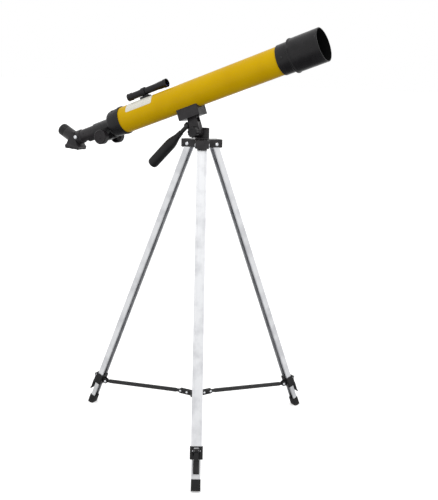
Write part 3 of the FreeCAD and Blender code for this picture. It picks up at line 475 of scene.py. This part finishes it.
def moulded_rubber():
    """Moulded black rubber: nearly no shine, a fine grain, and grey floor dust near the sole."""
    made, tree, shader = new_material("moulded_rubber", IOR=1.52, Specular_IOR_Level=0.35)
    place = put(tree, "ShaderNodeTexCoord").outputs["Object"]
    height = put(tree, "ShaderNodeSeparateXYZ", {"Vector": place}).outputs["Z"]
    low = put(tree, "ShaderNodeMapRange", {"Value": height, "From Min": 0.0, "From Max": 7 * MM,
                                           "To Min": 1.0, "To Max": 0.0})
    speckle = put(tree, "ShaderNodeTexNoise", {"Vector": place, "Scale": 1 / (1.3 * MM), "Detail": 4.0})
    dust = put(tree, "ShaderNodeMath", {0: low.outputs["Result"], 1: speckle.outputs["Fac"]},
               operation="MULTIPLY")
    colour = put(tree, "ShaderNodeMix", {0: dust.outputs["Value"], 6: linear("#141415"),
                                         7: linear("#4a4744")}, data_type="RGBA")
    tree.links.new(colour.outputs[2], shader.inputs["Base Color"])
    uneven_gloss(tree, shader, place, 3, 0.68, 0.84)
    surface_grain(tree, shader, place, 0.6, 0.03)
    return made


def coated_glass():
    """Polished crown glass with a single blue-violet coating: clear, with a tinted reflection."""
    made, tree, shader = new_material("coated_optical_glass", IOR=1.52, Transmission_Weight=1.0,
                                      Coat_Weight=0.5, Coat_Roughness=0.02, Coat_IOR=1.6,
                                      Coat_Tint=linear("#8f9dff"))
    place = put(tree, "ShaderNodeTexCoord").outputs["Object"]
    mottled_colour(tree, shader, place, 8, "#eef3ff", "#e2ecff")
    uneven_gloss(tree, shader, place, 3, 0.0, 0.03)
    return made


def printed_vinyl():
    """A glossy white vinyl label with plain grey bars where its print would be, and no words."""
    made, tree, shader = new_material("printed_vinyl_label", IOR=1.5, Specular_IOR_Level=0.2,
                                      Coat_Weight=0.2, Coat_Roughness=0.15)
    own = put(tree, "ShaderNodeAttribute", attribute_name="own_place").outputs["Vector"]
    flat = put(tree, "ShaderNodeVectorRotate", {"Vector": own, "Angle": math.pi / 2},
               rotation_type="X_AXIS").outputs["Vector"]
    bars = put(tree, "ShaderNodeTexBrick", {"Vector": flat, "Scale": 1.0, "Brick Width": 11 * MM,
                                            "Row Height": 2.6 * MM, "Mortar Size": 0.75 * MM,
                                            "Color1": linear("#b4b5b1"), "Color2": linear("#c6c6c0"),
                                            "Mortar": linear("#dad7cb")}, offset=0.35, squash=0.7)
    tree.links.new(bars.outputs["Color"], shader.inputs["Base Color"])
    uneven_gloss(tree, shader, own, 6, 0.28, 0.42)
    surface_grain(tree, shader, own, 5, 0.01, 0.4)
    return made


def studio_paper():
    """Matt white background paper, lit from behind: even, with a trace of tooth."""
    made, tree, shader = new_material("studio_paper", Specular_IOR_Level=0.1,
                                      Emission_Color=linear("#ffffff"), Emission_Strength=0.35)
    place = put(tree, "ShaderNodeTexCoord").outputs["Object"]
    mottled_colour(tree, shader, place, 40, "#f2f2f2", "#eeeeee", 3.0)
    uneven_gloss(tree, shader, place, 20, 0.86, 0.94)
    return made


ENAMEL = stoved_enamel()
ABS = moulded_plastic("moulded_abs_black", "#141315", "#1b1a1c", 0.30)
ABS_WORN = moulded_plastic("moulded_abs_handled", "#242224", "#2c2a2c", 0.32, 0.9, 0.015)
NYLON = moulded_plastic("moulded_nylon_black", "#101011", "#171718", 0.40)
KNOB = moulded_plastic("pressed_phenolic_black", "#161316", "#1e1a1d", 0.26, 1.2, 0.008)
LINING = flat_black_paint()
ALUMINIUM = drawn_aluminium("satin_anodised_aluminium", "#e9eaec", "#cfd0d3")
INNER_ALUMINIUM = drawn_aluminium("mill_finish_aluminium", "#dddedf", "#bfc0c3", 0.42)
CHROME = bright_plating()
LACQUER = black_lacquer()
RUBBER = moulded_rubber()
GLASS = coated_glass()
VINYL = printed_vinyl()


# ---- small shapes that repeat ----
def screw_head(radius, height, recess=0.55):
    """A domed head along Z with a cross recess."""
    head = lathe([(0, 0), (0, radius), (height * 0.45, radius), (height * 0.85, radius * 0.72),
                  (height, radius * 0.3), (height, 0)], 24, 0.2)
    placed(head, turned(-90, "Y"))
    holder = holder_for(head)
    cutters = []
    for wide, deep in ((radius * 0.62, radius * 0.14), (radius * 0.14, radius * 0.62)):
        slot = extruded([(-wide, -deep), (wide, -deep), (wide, deep), (-wide, deep)],
                        height * recess, height + 1)
        cutter = holder_for(slot)
        cut = holder.modifiers.new("recess", "BOOLEAN")
        cut.operation = "DIFFERENCE"
        cut.solver = "EXACT"
        cut.object = cutter
        cutters.append(cutter)
    data = baked(holder)
    for cutter in cutters:
        bpy.data.objects.remove(cutter)
    return data


def rivet_head(radius, height):
    """A low snap head along Z."""
    return placed(lathe([(0, 0), (0, radius), (height * 0.3, radius), (height * 0.62, radius * 0.86),
                         (height * 0.88, radius * 0.55), (height, radius * 0.2), (height, 0)], 32, 0.15),
                  turned(-90, "Y"))


def ridge(length, width, height):
    """A rounded bar along X that stands up along Z, with its ends run out."""
    half = width / 2
    section = [(-half, -height), (half, -height), (half, height * 0.3), (half * 0.5, height),
               (-half * 0.5, height), (-half, height * 0.3)]
    return placed(extruded(section, -length / 2, length / 2, 0.12), turned(90, "Y") @ turned(90, "Z"))


def thumb_screw(place, out, stem_end, length=5.5, radius=4.2):
    """A knurled thumb screw along X about its head's middle, which is this far out from the barrel's
    axis. Its stem starts just clear of the barrel. Returns (mesh, material) pairs."""
    half = length / 2
    core = lathe([(-half, 0), (-half, radius - 0.9), (-half + 0.5, radius - 0.3), (half - 0.5, radius - 0.3),
                  (half, radius - 0.9), (half, 0)], 64, 0.3)
    neck = lathe([(-half - 1.4, 0), (-half - 1.4, 2.4), (-half + 0.2, 2.4), (-half + 0.2, 0)], 32, 0.1)
    dimple = lathe([(half - 0.05, 0), (half - 0.05, radius - 1.4), (half + 0.25, radius - 1.8),
                    (half + 0.25, 0)], 48, 0.12)
    knurl = repeated(RING, ridge(length - 1.2, 0.75, 0.35), CHROME, place, Count=24,
                     Radius=(radius - 0.25) * MM)
    tip = NOSE_R + 0.3
    stem = lathe([(tip, 0), (tip, 1.2), (tip + 0.35, 1.5), (stem_end, 1.5), (stem_end, 0)], 24, 0.1)
    return [(placed(core, place), CHROME), (placed(neck, place), CHROME),
            (placed(dimple, place), CHROME), (knurl, CHROME), (placed(stem, place @ moved(-out)), CHROME)]


# ---- the telescope ----
def both_sides(make):
    for name, sign in (("right", -1), ("left", 1)):
        make(name, sign)


def paint(made, material, place, wanted):
    """Gives a material to the faces whose (along, radius, outward) the test accepts."""
    made.data.materials.append(material)
    index = len(made.data.materials) - 1
    back = place.inverted()
    turn_back = back.to_3x3()
    for face in made.data.polygons:
        centre = (back @ face.center) / MM
        normal = turn_back @ face.normal
        radius = math.hypot(centre.y, centre.z)
        outward = (normal.y * centre.y + normal.z * centre.z) / max(radius, 1e-6)
        if wanted(centre.x, radius, outward):
            face.material_index = index


def main_tube():
    rear, front = TUBE_ENDS
    wall = lathe([(rear, TUBE_INSIDE), (rear, TUBE_R), (front, TUBE_R), (front, TUBE_INSIDE)], 160, 0.3)
    made = piece("main_tube", "scope", [(placed(wall, SCOPE), ENAMEL)], ["main_tube"], SCOPE)
    paint(made, LINING, SCOPE, lambda along, radius, outward: outward < -0.5)


def label():
    """A thin vinyl label wrapped on the side of the tube, below the finder."""
    start, end, low, high = -185, -115, 9, 70
    rows, columns, corner = 28, 28, 2.5
    mesh = bmesh.new()
    skins = []
    for skin in (0.03, 0.22):
        grid = []
        for i in range(columns + 1):
            along = start + (end - start) * i / columns
            inset = max(0, corner - min(along - start, end - along))
            pinch = math.degrees((corner - math.sqrt(corner ** 2 - inset ** 2)) / TUBE_R)
            strip = []
            for j in range(rows + 1):
                a = math.radians(low + pinch + (high - low - 2 * pinch) * j / rows)
                r = TUBE_R + skin
                strip.append(mesh.verts.new((along * MM, -r * math.sin(a) * MM, r * math.cos(a) * MM)))
            grid.append(strip)
        skins.append(grid)
    for grid in skins:
        for i in range(columns):
            for j in range(rows):
                mesh.faces.new((grid[i][j], grid[i + 1][j], grid[i + 1][j + 1], grid[i][j + 1]))
    rims = [[(i, 0) for i in range(columns + 1)], [(columns, j) for j in range(rows + 1)],
            [(i, rows) for i in range(columns, -1, -1)], [(0, j) for j in range(rows, -1, -1)]]
    for rim in rims:
        for (i, j), (k, m) in zip(rim, rim[1:]):
            mesh.faces.new((skins[0][i][j], skins[0][k][m], skins[1][k][m], skins[1][i][j]))
    bmesh.ops.recalc_face_normals(mesh, faces=mesh.faces)
    piece("label", "scope", [(placed(to_mesh(mesh), SCOPE), VINYL)], (), SCOPE)


def lens_outline(radius, back, front, back_curve, front_curve, steps=14):
    """A lens between two spheres that bulge by back_curve and front_curve at the rim."""
    def bulge(r, curve):
        return curve * (1 - (r / radius) ** 2)
    rims = [radius * i / steps for i in range(steps + 1)]
    rear = [(back - bulge(r, back_curve), r) for r in rims]
    face = [(front + bulge(r, front_curve), r) for r in reversed(rims)]
    return rear + face


def objective():
    inside, seat, lip = TUBE_INSIDE, LENS_SEAT, TUBE_ENDS[1]
    front = SHIELD_ENDS[0] + 7
    cell = lathe([(170, inside - 2), (170, inside), (lip, inside), (lip, CELL_R - 0.6),
                  (lip + 0.6, CELL_R), (lip + 3.4, CELL_R), (lip + 3.7, CELL_R - 0.35),
                  (lip + 4.3, CELL_R - 0.35), (lip + 4.6, CELL_R), (front, CELL_R), (front, 26.6),
                  (seat, 26.6), (seat, 24.5), (182, 24.5)], 144, 0.4)
    made = piece("objective_cell", "scope", [(placed(cell, SCOPE), ABS)], ["objective_cell"],
                 SCOPE)
    paint(made, LINING, SCOPE, lambda along, radius, outward: radius < 27.5)
    lens = lathe(lens_outline(26.0, seat + 2.73, seat + 5.87, 2.13, 3.63), 96, 0)
    piece("objective_lens", "scope", [(placed(lens, SCOPE), GLASS)], ["objective_lens"], SCOPE)
    rim = seat + 10
    lock = lathe([(rim, 23.8), (rim, 26.6), (rim + 4, 26.6), (rim + 4, 25.9), (rim + 3.2, 25.6),
                  (rim + 3.2, 24.9), (rim + 4, 24.6)], 96, 0.2)
    piece("lens_ring", "scope", [(placed(lock, SCOPE), LACQUER)], ["lens_ring"], SCOPE)


def dew_shield():
    rear, front = SHIELD_ENDS
    inside = SHIELD_R - 2
    shell = lathe([(rear, CELL_R), (rear, SHIELD_R + 0.4), (rear + 0.8, SHIELD_R + 1.2),
                   (rear + 3.4, SHIELD_R + 1.2), (rear + 4.2, SHIELD_R - 0.3), (rear + 5.6, SHIELD_R - 0.3),
                   (rear + 6.4, SHIELD_R), (front - 4.4, SHIELD_R), (front - 4.0, SHIELD_R - 0.25),
                   (front - 3.2, SHIELD_R - 0.25), (front - 2.8, SHIELD_R), (front - 0.5, SHIELD_R),
                   (front, SHIELD_R - 0.7), (front, inside + 0.4), (front - 0.5, inside),
                   (rear + 4, inside), (rear + 4, CELL_R)], 160, 0.45)
    made = piece("dew_shield", "scope", [(placed(shell, SCOPE), ABS)], ["dew_shield"],
                 SCOPE)
    paint(made, LINING, SCOPE, lambda along, radius, outward: radius < inside + 0.2)


def rear_cell():
    front, end, inside = TUBE_ENDS[0], REAR_END, TUBE_INSIDE
    hole = DRAW_R + 2.2
    shell = lathe([(front + 8, TUBE_R), (front + 8, TUBE_R + 1.8), (front + 7.2, TUBE_R + 2.4),
                   (front + 1, TUBE_R + 2.4), (front + 0.2, TUBE_R + 0.7), (front - 1.4, TUBE_R + 0.7),
                   (front - 2.0, TUBE_R + 1.0), (end + 9, TUBE_R + 0.6), (end + 5, TUBE_R),
                   (end + 2, TUBE_R - 1.2), (end, TUBE_R - 3.4), (end, 21.6), (end + 0.5, 21.2),
                   (end + 0.5, 19.9), (end, 19.5), (end, hole),
                   (end + 3.5, hole), (end + 3.5, inside - 4), (end + 9, inside - 1),
                   (front, inside - 1), (front, TUBE_R)], 144, 0.6)
    piece("rear_cell", "scope", [(placed(shell, SCOPE), ABS)], ["rear_cell"], SCOPE)


def scope_screws():
    """Three in each cell, and two that hold the finder's foot."""
    ring_places = ((TUBE_ENDS[1] + 12, CELL_R - 0.05, -90), (TUBE_ENDS[0] - 12, TUBE_R + 0.75, -30))
    parts = []
    for along, radius, first in ring_places:
        place = SCOPE @ moved(along) @ turned(first, "X")
        parts.append((repeated(RING, screw_head(2.4, 1.35), LACQUER, place, Count=3, Radius=radius * MM),
                      LACQUER))
    place = SCOPE @ moved(FINDER_FOOT - FINDER_SCREWS / 2, 0, TUBE_R + 3.98)
    foot = repeated(ROW, screw_head(2.0, 1.2), CHROME, place, Count=2, Step=FINDER_SCREWS * MM)
    parts.append((foot, CHROME))
    piece("scope_screws", "scope", parts, ["scope_screws"], SCOPE)


def finder():
    piece("finder_bracket", "scope", [(cad_shape("finder_bracket", 0.5), ABS)], ["finder_bracket"],
          SCOPE)
    rear, front = FINDER_ENDS
    bell = FINDER_BELL
    body = lathe([(rear, 3.5), (rear, 7.6), (rear + 1, 8.6), (rear + 2.6, 8.6), (rear + 3, 8.2),
                  (rear + 9.6, 8.2), (rear + 10, 8.6), (rear + 11, 8.6), (rear + 12, 7.5),
                  (front - 26, 7.5), (front - 18, bell - 1), (front - 8, bell - 1), (front - 7.4, bell),
                  (front, bell), (front, bell - 1.2), (front - 8, bell - 1.2), (front - 8, bell - 2.4),
                  (front - 17, bell - 2.4), (front - 26, 6.3), (rear + 6, 6.3), (rear + 6, 3.5)], 72, 0.35)
    made = piece("finder_tube", "scope", [(placed(body, FINDER), ABS)], ["finder_tube"],
                 FINDER)
    paint(made, LINING, FINDER, lambda along, radius, outward: outward < -0.4)
    glass = lathe(lens_outline(bell - 1.25, front - 7.5, front - 5.3, 0.4, 0.7), 48, 0)
    eye = lathe(lens_outline(6.2, rear + 6.6, rear + 8.4, 0.5, 0.4), 48, 0)
    piece("finder_lenses", "scope", [(placed(glass, FINDER), GLASS), (placed(eye, FINDER), GLASS)],
          ["finder_lenses"], FINDER)


# ---- the focuser, the diagonal and the eyepiece ----
def focuser_housing():
    piece("focuser_housing", "scope", [(cad_shape("focuser_housing", 0.45), ABS)], ["focuser_housing"],
          SCOPE)


def draw_tube():
    rear, front = DRAW_ENDS
    collar = rear + 13
    tube = lathe([(rear, NOSE_R + 0.05), (rear, DRAW_R + 1.0), (rear + 0.8, DRAW_R + 1.8),
                  (rear + 2.2, DRAW_R + 1.8), (rear + 2.5, DRAW_R + 1.4), (rear + 3.1, DRAW_R + 1.4),
                  (rear + 3.4, DRAW_R + 1.8), (collar - 0.8, DRAW_R + 1.8), (collar, DRAW_R + 1.0),
                  (collar, DRAW_R), (front, DRAW_R), (front, DRAW_R - 1), (collar + 10, DRAW_R - 1),
                  (collar + 10, NOSE_R + 0.05)], 120, 0.35)
    piece("draw_tube", "draw", [(placed(tube, SCOPE), ABS_WORN)], ["draw_tube"], SCOPE)
    piece("draw_clamp_screw", "draw_screw", thumb_screw(DRAW_SCREW, DRAW_SCREW_OUT, 17),
          ["draw_clamp_screw"], DRAW_SCREW)


def pinion_shaft():
    shaft = lathe([(-35, 0), (-35, 1.6), (-34.6, 2), (34.6, 2), (35, 1.6), (35, 0)], 48, 0.15)
    core = lathe([(-3, 0), (-3, 4.0), (3, 4.0), (3, 0)], 48, 0.1)
    place = PINION @ turned(90, "Z")
    tooth = ridge(6, 1.15, 0.75)
    teeth = repeated(RING, tooth, CHROME, place, Count=12, Radius=4.6 * MM)
    piece("pinion_shaft", "focus", [(placed(shaft, place), CHROME), (placed(core, place), CHROME),
                                    (teeth, CHROME)], ["pinion_shaft"], PINION)


def focus_knob(name, sign):
    """A cup-shaped knob, hollow inside, with a ribbed rim and a dished face."""
    out, back = KNOB_FACE, KNOB_FACE - 14
    rim = KNOB_R - 0.35
    place = PINION @ turned(90 * sign, "Z")
    cup = lathe([(back, rim - 2.0), (back, rim - 0.5), (back + 0.8, rim + 0.3), (back + 2.0, rim + 0.3),
                 (back + 2.4, rim), (out - 3.0, rim), (out - 2.4, rim + 0.3), (out - 1.4, rim),
                 (out - 0.2, rim - 1.8), (out - 0.2, rim - 2.6), (out - 0.7, rim - 3.6), (out - 0.7, 4.4),
                 (out - 0.1, 3.8), (out - 0.1, 0), (out - 3, 0), (out - 3, 2.0), (back, 2.0), (back, 4.6),
                 (out - 3.4, 4.6), (out - 3.4, rim - 2.0)], 128, 0.4)
    ribs = repeated(RING, ridge(8.0, 0.9, 0.3), KNOB, place @ moved(out - 7.3), Count=48,
                    Radius=(rim - 0.02) * MM)
    piece("focus_knob_" + name, "focus", [(placed(cup, place), KNOB), (ribs, KNOB)],
          ["focus_knob_" + name], place)


def diagonal():
    piece("diagonal_housing", "diagonal", [(cad_shape("diagonal_housing", 0.6), ABS_WORN)],
          ["diagonal_housing"], COVER)
    piece("diagonal_cover", "diagonal", [(cad_shape("diagonal_cover", 0.5), ABS)], ["diagonal_cover"],
          COVER)
    parts = []
    reach = 15.5
    for across in (-12, 12):
        place = COVER @ moved(-reach, across, -22.48) @ turned(180, "X")
        parts.append((repeated(ROW, screw_head(2.0, 1.3), LACQUER, place, Count=3, Step=reach * MM), LACQUER))
    piece("diagonal_screws", "diagonal", parts, ["diagonal_screws"], COVER)


def eyepiece():
    low, top, wall, brim = 12.5, EYE_TOP, 1.2, 29.0
    body = lathe([(low, NOSE_R - wall), (low, NOSE_R), (brim, NOSE_R), (brim, HOLDER_R - 0.8),
                  (brim + 0.6, HOLDER_R), (brim + 9.5, HOLDER_R), (brim + 10, HOLDER_R - 0.4),
                  (top - 6.6, HOLDER_R - 0.4), (top - 6.0, HOLDER_R), (top - 2.2, HOLDER_R - 1.4),
                  (top, HOLDER_R - 4.4), (top, 8.0), (top - 2.5, 6.2), (top - 6.5, 6.2),
                  (top - 6.5, NOSE_R - wall)], 96, 0.6)
    grip = repeated(RING, ridge(7.6, 0.8, 0.28), ABS, EYE @ moved(brim + 5), Count=48,
                    Radius=(HOLDER_R - 0.28) * MM)
    piece("eyepiece", "eyepiece", [(placed(body, EYE), ABS), (grip, ABS)], ["eyepiece"],
          EYE)
    eye_lens = lathe(lens_outline(6.15, top - 6.3, top - 4.2, 0.1, 0.9), 48, 0)
    field_lens = lathe(lens_outline(NOSE_R - wall - 0.05, low + 5.6, low + 7.8, 1.4, 0.1), 48, 0)
    piece("eyepiece_lenses", "eyepiece", [(placed(eye_lens, EYE), GLASS), (placed(field_lens, EYE), GLASS)],
          ["eyepiece_lenses"], EYE)
    piece("eyepiece_clamp_screw", "eyepiece_screw", thumb_screw(EYE_SCREW, EYE_SCREW_OUT, 15.2),
          ["eyepiece_clamp_screw"], EYE_SCREW)


# ---- the head ----
def column_and_saddle():
    piece("tilt_column", "scope", [(cad_shape("tilt_column", 0.7), ABS_WORN)], ["tilt_column"],
          SCOPE)
    piece("saddle_block", "scope", [(cad_shape("saddle_block", 0.7), ABS_WORN)], ["saddle_block"],
          SCOPE)


def pan_head():
    piece("pan_base", "head_pan", [(cad_shape("pan_base", 0.6), ABS_WORN)], ["pan_base"])
    low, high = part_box("pan_bolt")
    bottom, top = low.z / MM, high.z / MM
    bolt = lathe([(bottom, 0), (bottom, 3.4), (bottom + 0.6, 4.0), (bottom + 2.6, 2.8), (bottom + 2.6, 9.0),
                  (bottom + 3.8, 9.0), (bottom + 3.8, 2.0), (top, 2.0), (top, 0)], 64, 0.2)
    piece("pan_bolt", "head_pan", [(placed(bolt, at(AXIS) @ turned(-90, "Y")), CHROME)], ["pan_bolt"])
    piece("tilt_bolt", "head_pan", [(cad_shape("tilt_bolt", 0.3), CHROME)], ["tilt_bolt"])


def tilt_knob():
    """A twelve-lobed clamp knob on the near side of the head."""
    def lobes(a, along, radius):
        if radius < 9.5:
            return 0
        return -1.15 * (0.5 - 0.5 * math.cos(12 * a)) ** 0.7
    knob = lathe([(-6.75, 3.05), (-6.75, 7.0), (-5.35, 7.0), (-5.35, 12.0), (5.9, 12.0), (6.75, 11.0),
                  (6.75, 6.4), (6.2, 5.6), (6.2, 0), (4.7, 0), (4.7, 3.05)], 144, 0.8, lobes)
    place = TILT_AXIS @ turned(-90, "Z")
    piece("tilt_knob", "tilt_knob", [(placed(knob, place), ABS)], ["tilt_knob"], place)


def mount_screw():
    wheel = lathe([(-4.1, 0), (-4.1, 6.4), (-3.7, 6.85), (3.7, 6.85), (4.0, 6.4), (4.0, 3.1), (14.0, 3.1),
                   (14.4, 2.6), (14.4, 0)], 72, 0.2)
    ribs = repeated(RING, ridge(6.8, 0.9, 0.33), ABS, MOUNT, Count=28, Radius=6.83 * MM)
    piece("mount_screw", "mount_screw", [(placed(wheel, MOUNT), ABS), (ribs, ABS)], ["mount_screw"],
          MOUNT)


def handle():
    rod = lathe([(-2, 0), (-2, 3.0), (4, 3.0), (4, 6.6), (5, 7.2), (12, 7.2), (13, 6.4), (13, 4.6),
                 (62, 4.6), (62, 0)], 64, 0.5)
    piece("handle_rod", "scope", [(placed(rod, HANDLE), LACQUER)], ["handle_rod"], HANDLE)
    end = 135.0
    outline = [(30, 4.6), (30, 5.6), (36, 6.0), (44, 6.8), (54, 9.4), (60, 11.0), (66, 11.8), (72, 12.0),
               (end - 7, 12.0), (end - 3, 11.0), (end - 0.8, 9.0), (end, 6.5), (end, 0), (62, 0), (62, 4.6)]
    grip = lathe(outline, 96, 2.0)
    piece("handle_grip", "scope", [(placed(grip, HANDLE), NYLON)], ["handle_grip"], HANDLE)


# ---- the tripod ----
def crown():
    piece("crown", "crown", [(cad_shape("crown", 0.6), ABS_WORN)], ["crown"])
    parts = []
    reach = LEG_RIVET_REACH
    pin = [(-reach, 0), (-reach, 2.2), (reach, 2.2), (reach, 0)]
    for side in AZIMUTH:
        place = leg_frame(side)
        parts.append((placed(lathe(pin, 32, 0), place @ turned(90, "Z")), CHROME))
        for turned_by, across in ((-90, reach), (90, -reach)):
            parts.append((placed(rivet_head(3.9, 1.6), place @ moved(0, across) @ turned(turned_by, "X")),
                          CHROME))
    piece("leg_rivets", "crown", parts, ["leg_rivets"])


def channel(width, depth, wall, outer, lip, groove):
    """Section of a C-channel, open inwards, with two shallow grooves along its face."""
    half, back = width / 2, outer - depth
    face = [(outer, -half)]
    for y in (-groove, groove):
        face += [(outer, y - 0.5), (outer - 0.3, y - 0.25), (outer - 0.3, y + 0.25), (outer, y + 0.5)]
    return face + [(outer, half), (back, half), (back, half - lip), (back + wall, half - lip),
                   (back + wall, half - wall), (outer - wall, half - wall), (outer - wall, -half + wall),
                   (back + wall, -half + wall), (back + wall, -half + lip), (back, -half + lip),
                   (back, -half)]


OUTER_SECTION = channel(21.0, 13.0, 1.2, 6.0, 3.6, 6.4)
INNER_SECTION = channel(17.9, 9.9, 1.2, 4.45, 3.6, 5.4)


def leg(side):
    place = leg_frame(side)
    outer = placed(extruded(OUTER_SECTION, *OUTER_LEG, 0.8), place)
    piece("outer_leg_" + side, "leg_" + side, [(outer, ALUMINIUM)], ["outer_leg_" + side],
          place, 30)
    inner = placed(extruded(INNER_SECTION, *INNER_LEG, 0.7), place)
    piece("inner_leg_" + side, "leg_extension_" + side, [(inner, INNER_ALUMINIUM)], ["inner_leg_" + side],
          place, 30)
    piece("leg_collar_" + side, "leg_" + side, [(cad_shape("leg_collar_" + side, 0.4), NYLON)],
          ["leg_collar_" + side], place)
    piece("lock_lever_" + side, "lever_" + side, [(cad_shape("lock_lever_" + side, 0.5), NYLON)],
          ["lock_lever_" + side], place)
    piece("foot_" + side, "leg_extension_" + side, [(cad_shape("foot_" + side, 0.6), RUBBER)],
          ["foot_" + side], place)
    collar_pins(side, place)
    piece("spreader_arm_" + side, "arm_" + side, [(cad_shape("spreader_arm_" + side, 0.25), LACQUER)],
          ["spreader_arm_" + side], place)


def collar_pins(side, place):
    """The spreader's rivet and the lever's pin, across the collar."""
    ears = place @ moved(ARM_PIN[0], 0, ARM_PIN[1])
    lever = place @ moved(LEVER_PIN[0], 0, LEVER_PIN[1])
    reach = ARM_PIN_REACH
    arm_pin = lathe([(-reach, 0), (-reach, 2.2), (reach, 2.2), (reach, 0)], 32, 0)
    lever_pin = lathe([(-8.1, 0), (-8.1, 1.4), (-7.7, 1.8), (7.7, 1.8), (8.1, 1.4), (8.1, 0)], 32, 0.2)
    parts = [(placed(arm_pin, ears @ turned(90, "Z")), CHROME),
             (placed(lever_pin, lever @ turned(90, "Z")), CHROME)]
    for turned_by, across in ((-90, reach), (90, -reach)):
        parts.append((placed(rivet_head(3.6, 1.4), ears @ moved(0, across) @ turned(turned_by, "X")), CHROME))
    piece("collar_pins_" + side, "leg_" + side, parts, ["collar_pins_" + side], place)


def spreader():
    piece("spreader_hub", "hub", [(cad_shape("spreader_hub", 0.35), NYLON)], ["spreader_hub"])
    parts = []
    height = middle("spreader_hub").z / MM
    for side in AZIMUTH:
        for out in HUB_RIVETS:
            for turned_by, across in ((-90, HUB_HALF), (90, -HUB_HALF)):
                place = at(AXIS) @ turned(AZIMUTH[side], "Z") @ moved(out, across, height)
                parts.append((placed(rivet_head(2.8, 1.2), place @ turned(turned_by, "X")), CHROME))
    piece("hub_rivets", "hub", parts, ["hub_rivets"])


def carried_over():
    """CAD nodes whose shape is right as it is."""
    for node, material in (("focus_rack", NYLON), ("tube_baffle", LINING), ("erecting_prism", GLASS)):
        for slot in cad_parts[node].material_slots:
            slot.material = material


# ---- the studio ----
def floor():
    """Plain white paper, seen by the camera but casting no light back up at the object."""
    paper = bpy.data.meshes.new("floor")
    size = 60.0
    paper.from_pydata([(-size, -size, 0), (size, -size, 0), (size, size, 0), (-size, size, 0)], [],
                      [(0, 1, 2, 3)])
    paper.materials.append(studio_paper())
    made = bpy.data.objects.new("floor", paper)
    made.location.z = -0.0002
    made.visible_diffuse = False
    made.visible_glossy = False
    bpy.context.scene.collection.objects.link(made)


def surroundings():
    """A white tent overhead that turns to grey below the horizon."""
    world = bpy.data.worlds.new("studio")
    world.use_nodes = True
    tree = world.node_tree
    direction = put(tree, "ShaderNodeTexCoord").outputs["Generated"]
    height = put(tree, "ShaderNodeSeparateXYZ", {"Vector": direction}).outputs["Z"]
    share = put(tree, "ShaderNodeMapRange", {"Value": height, "From Min": -0.8, "From Max": -0.4})
    colour = put(tree, "ShaderNodeMix", {0: share.outputs["Result"], 6: linear("#8a8a8c"),
                                         7: linear("#ffffff")}, data_type="RGBA")
    tree.links.new(colour.outputs[2], tree.nodes["Background"].inputs["Color"])
    tree.nodes["Background"].inputs["Strength"].default_value = 1.0
    bpy.context.scene.world = world


def lamp(name, place, target, size, power):
    light = bpy.data.lights.new(name, "AREA")
    light.shape = "RECTANGLE"
    light.size, light.size_y = size
    light.energy = power
    made = bpy.data.objects.new(name, light)
    made.location = place
    made.rotation_euler = (Vector(target) - Vector(place)).to_track_quat("-Z", "Y").to_euler()
    bpy.context.scene.collection.objects.link(made)


def lights():
    lamp("overhead_softbox", (0.3, -0.5, 2.4), (0, 0, 0.6), (1.6, 0.35), 7)
    lamp("right_softbox", (2.0, -0.9, 1.3), (0, 0, 0.6), (0.5, 1.4), 4)
    sun = bpy.data.lights.new("high_window", "SUN")
    sun.energy = 0.12
    sun.angle = math.radians(40)
    made = bpy.data.objects.new("high_window", sun)
    made.rotation_euler = (math.radians(38), math.radians(18), 0)
    bpy.context.scene.collection.objects.link(made)
    bpy.context.scene.view_settings.view_transform = "Standard"


def camera():
    """The viewpoint: in front of one leg, a little above the crown, looking slightly down."""
    lens = bpy.data.cameras.new("camera")
    lens.lens = 57.86
    made = bpy.data.objects.new("camera", lens)
    eye = AXIS + Vector((831.2, -1497.4, 787.1)) * MM
    forward = Vector((-0.4527, 0.8663, -0.2112))
    aim = forward.to_track_quat("-Z", "Y").to_matrix().to_4x4()
    made.matrix_world = at(eye) @ aim @ turned(1.77, "Z")
    bpy.context.scene.collection.objects.link(made)
    bpy.context.scene.camera = made


main_tube()
label()
objective()
dew_shield()
rear_cell()
scope_screws()
finder()
focuser_housing()
draw_tube()
pinion_shaft()
both_sides(focus_knob)
diagonal()
eyepiece()
column_and_saddle()
pan_head()
tilt_knob()
mount_screw()
handle()
crown()
for one_side in AZIMUTH:
    leg(one_side)
spreader()
carried_over()
floor()
surroundings()
lights()
camera()
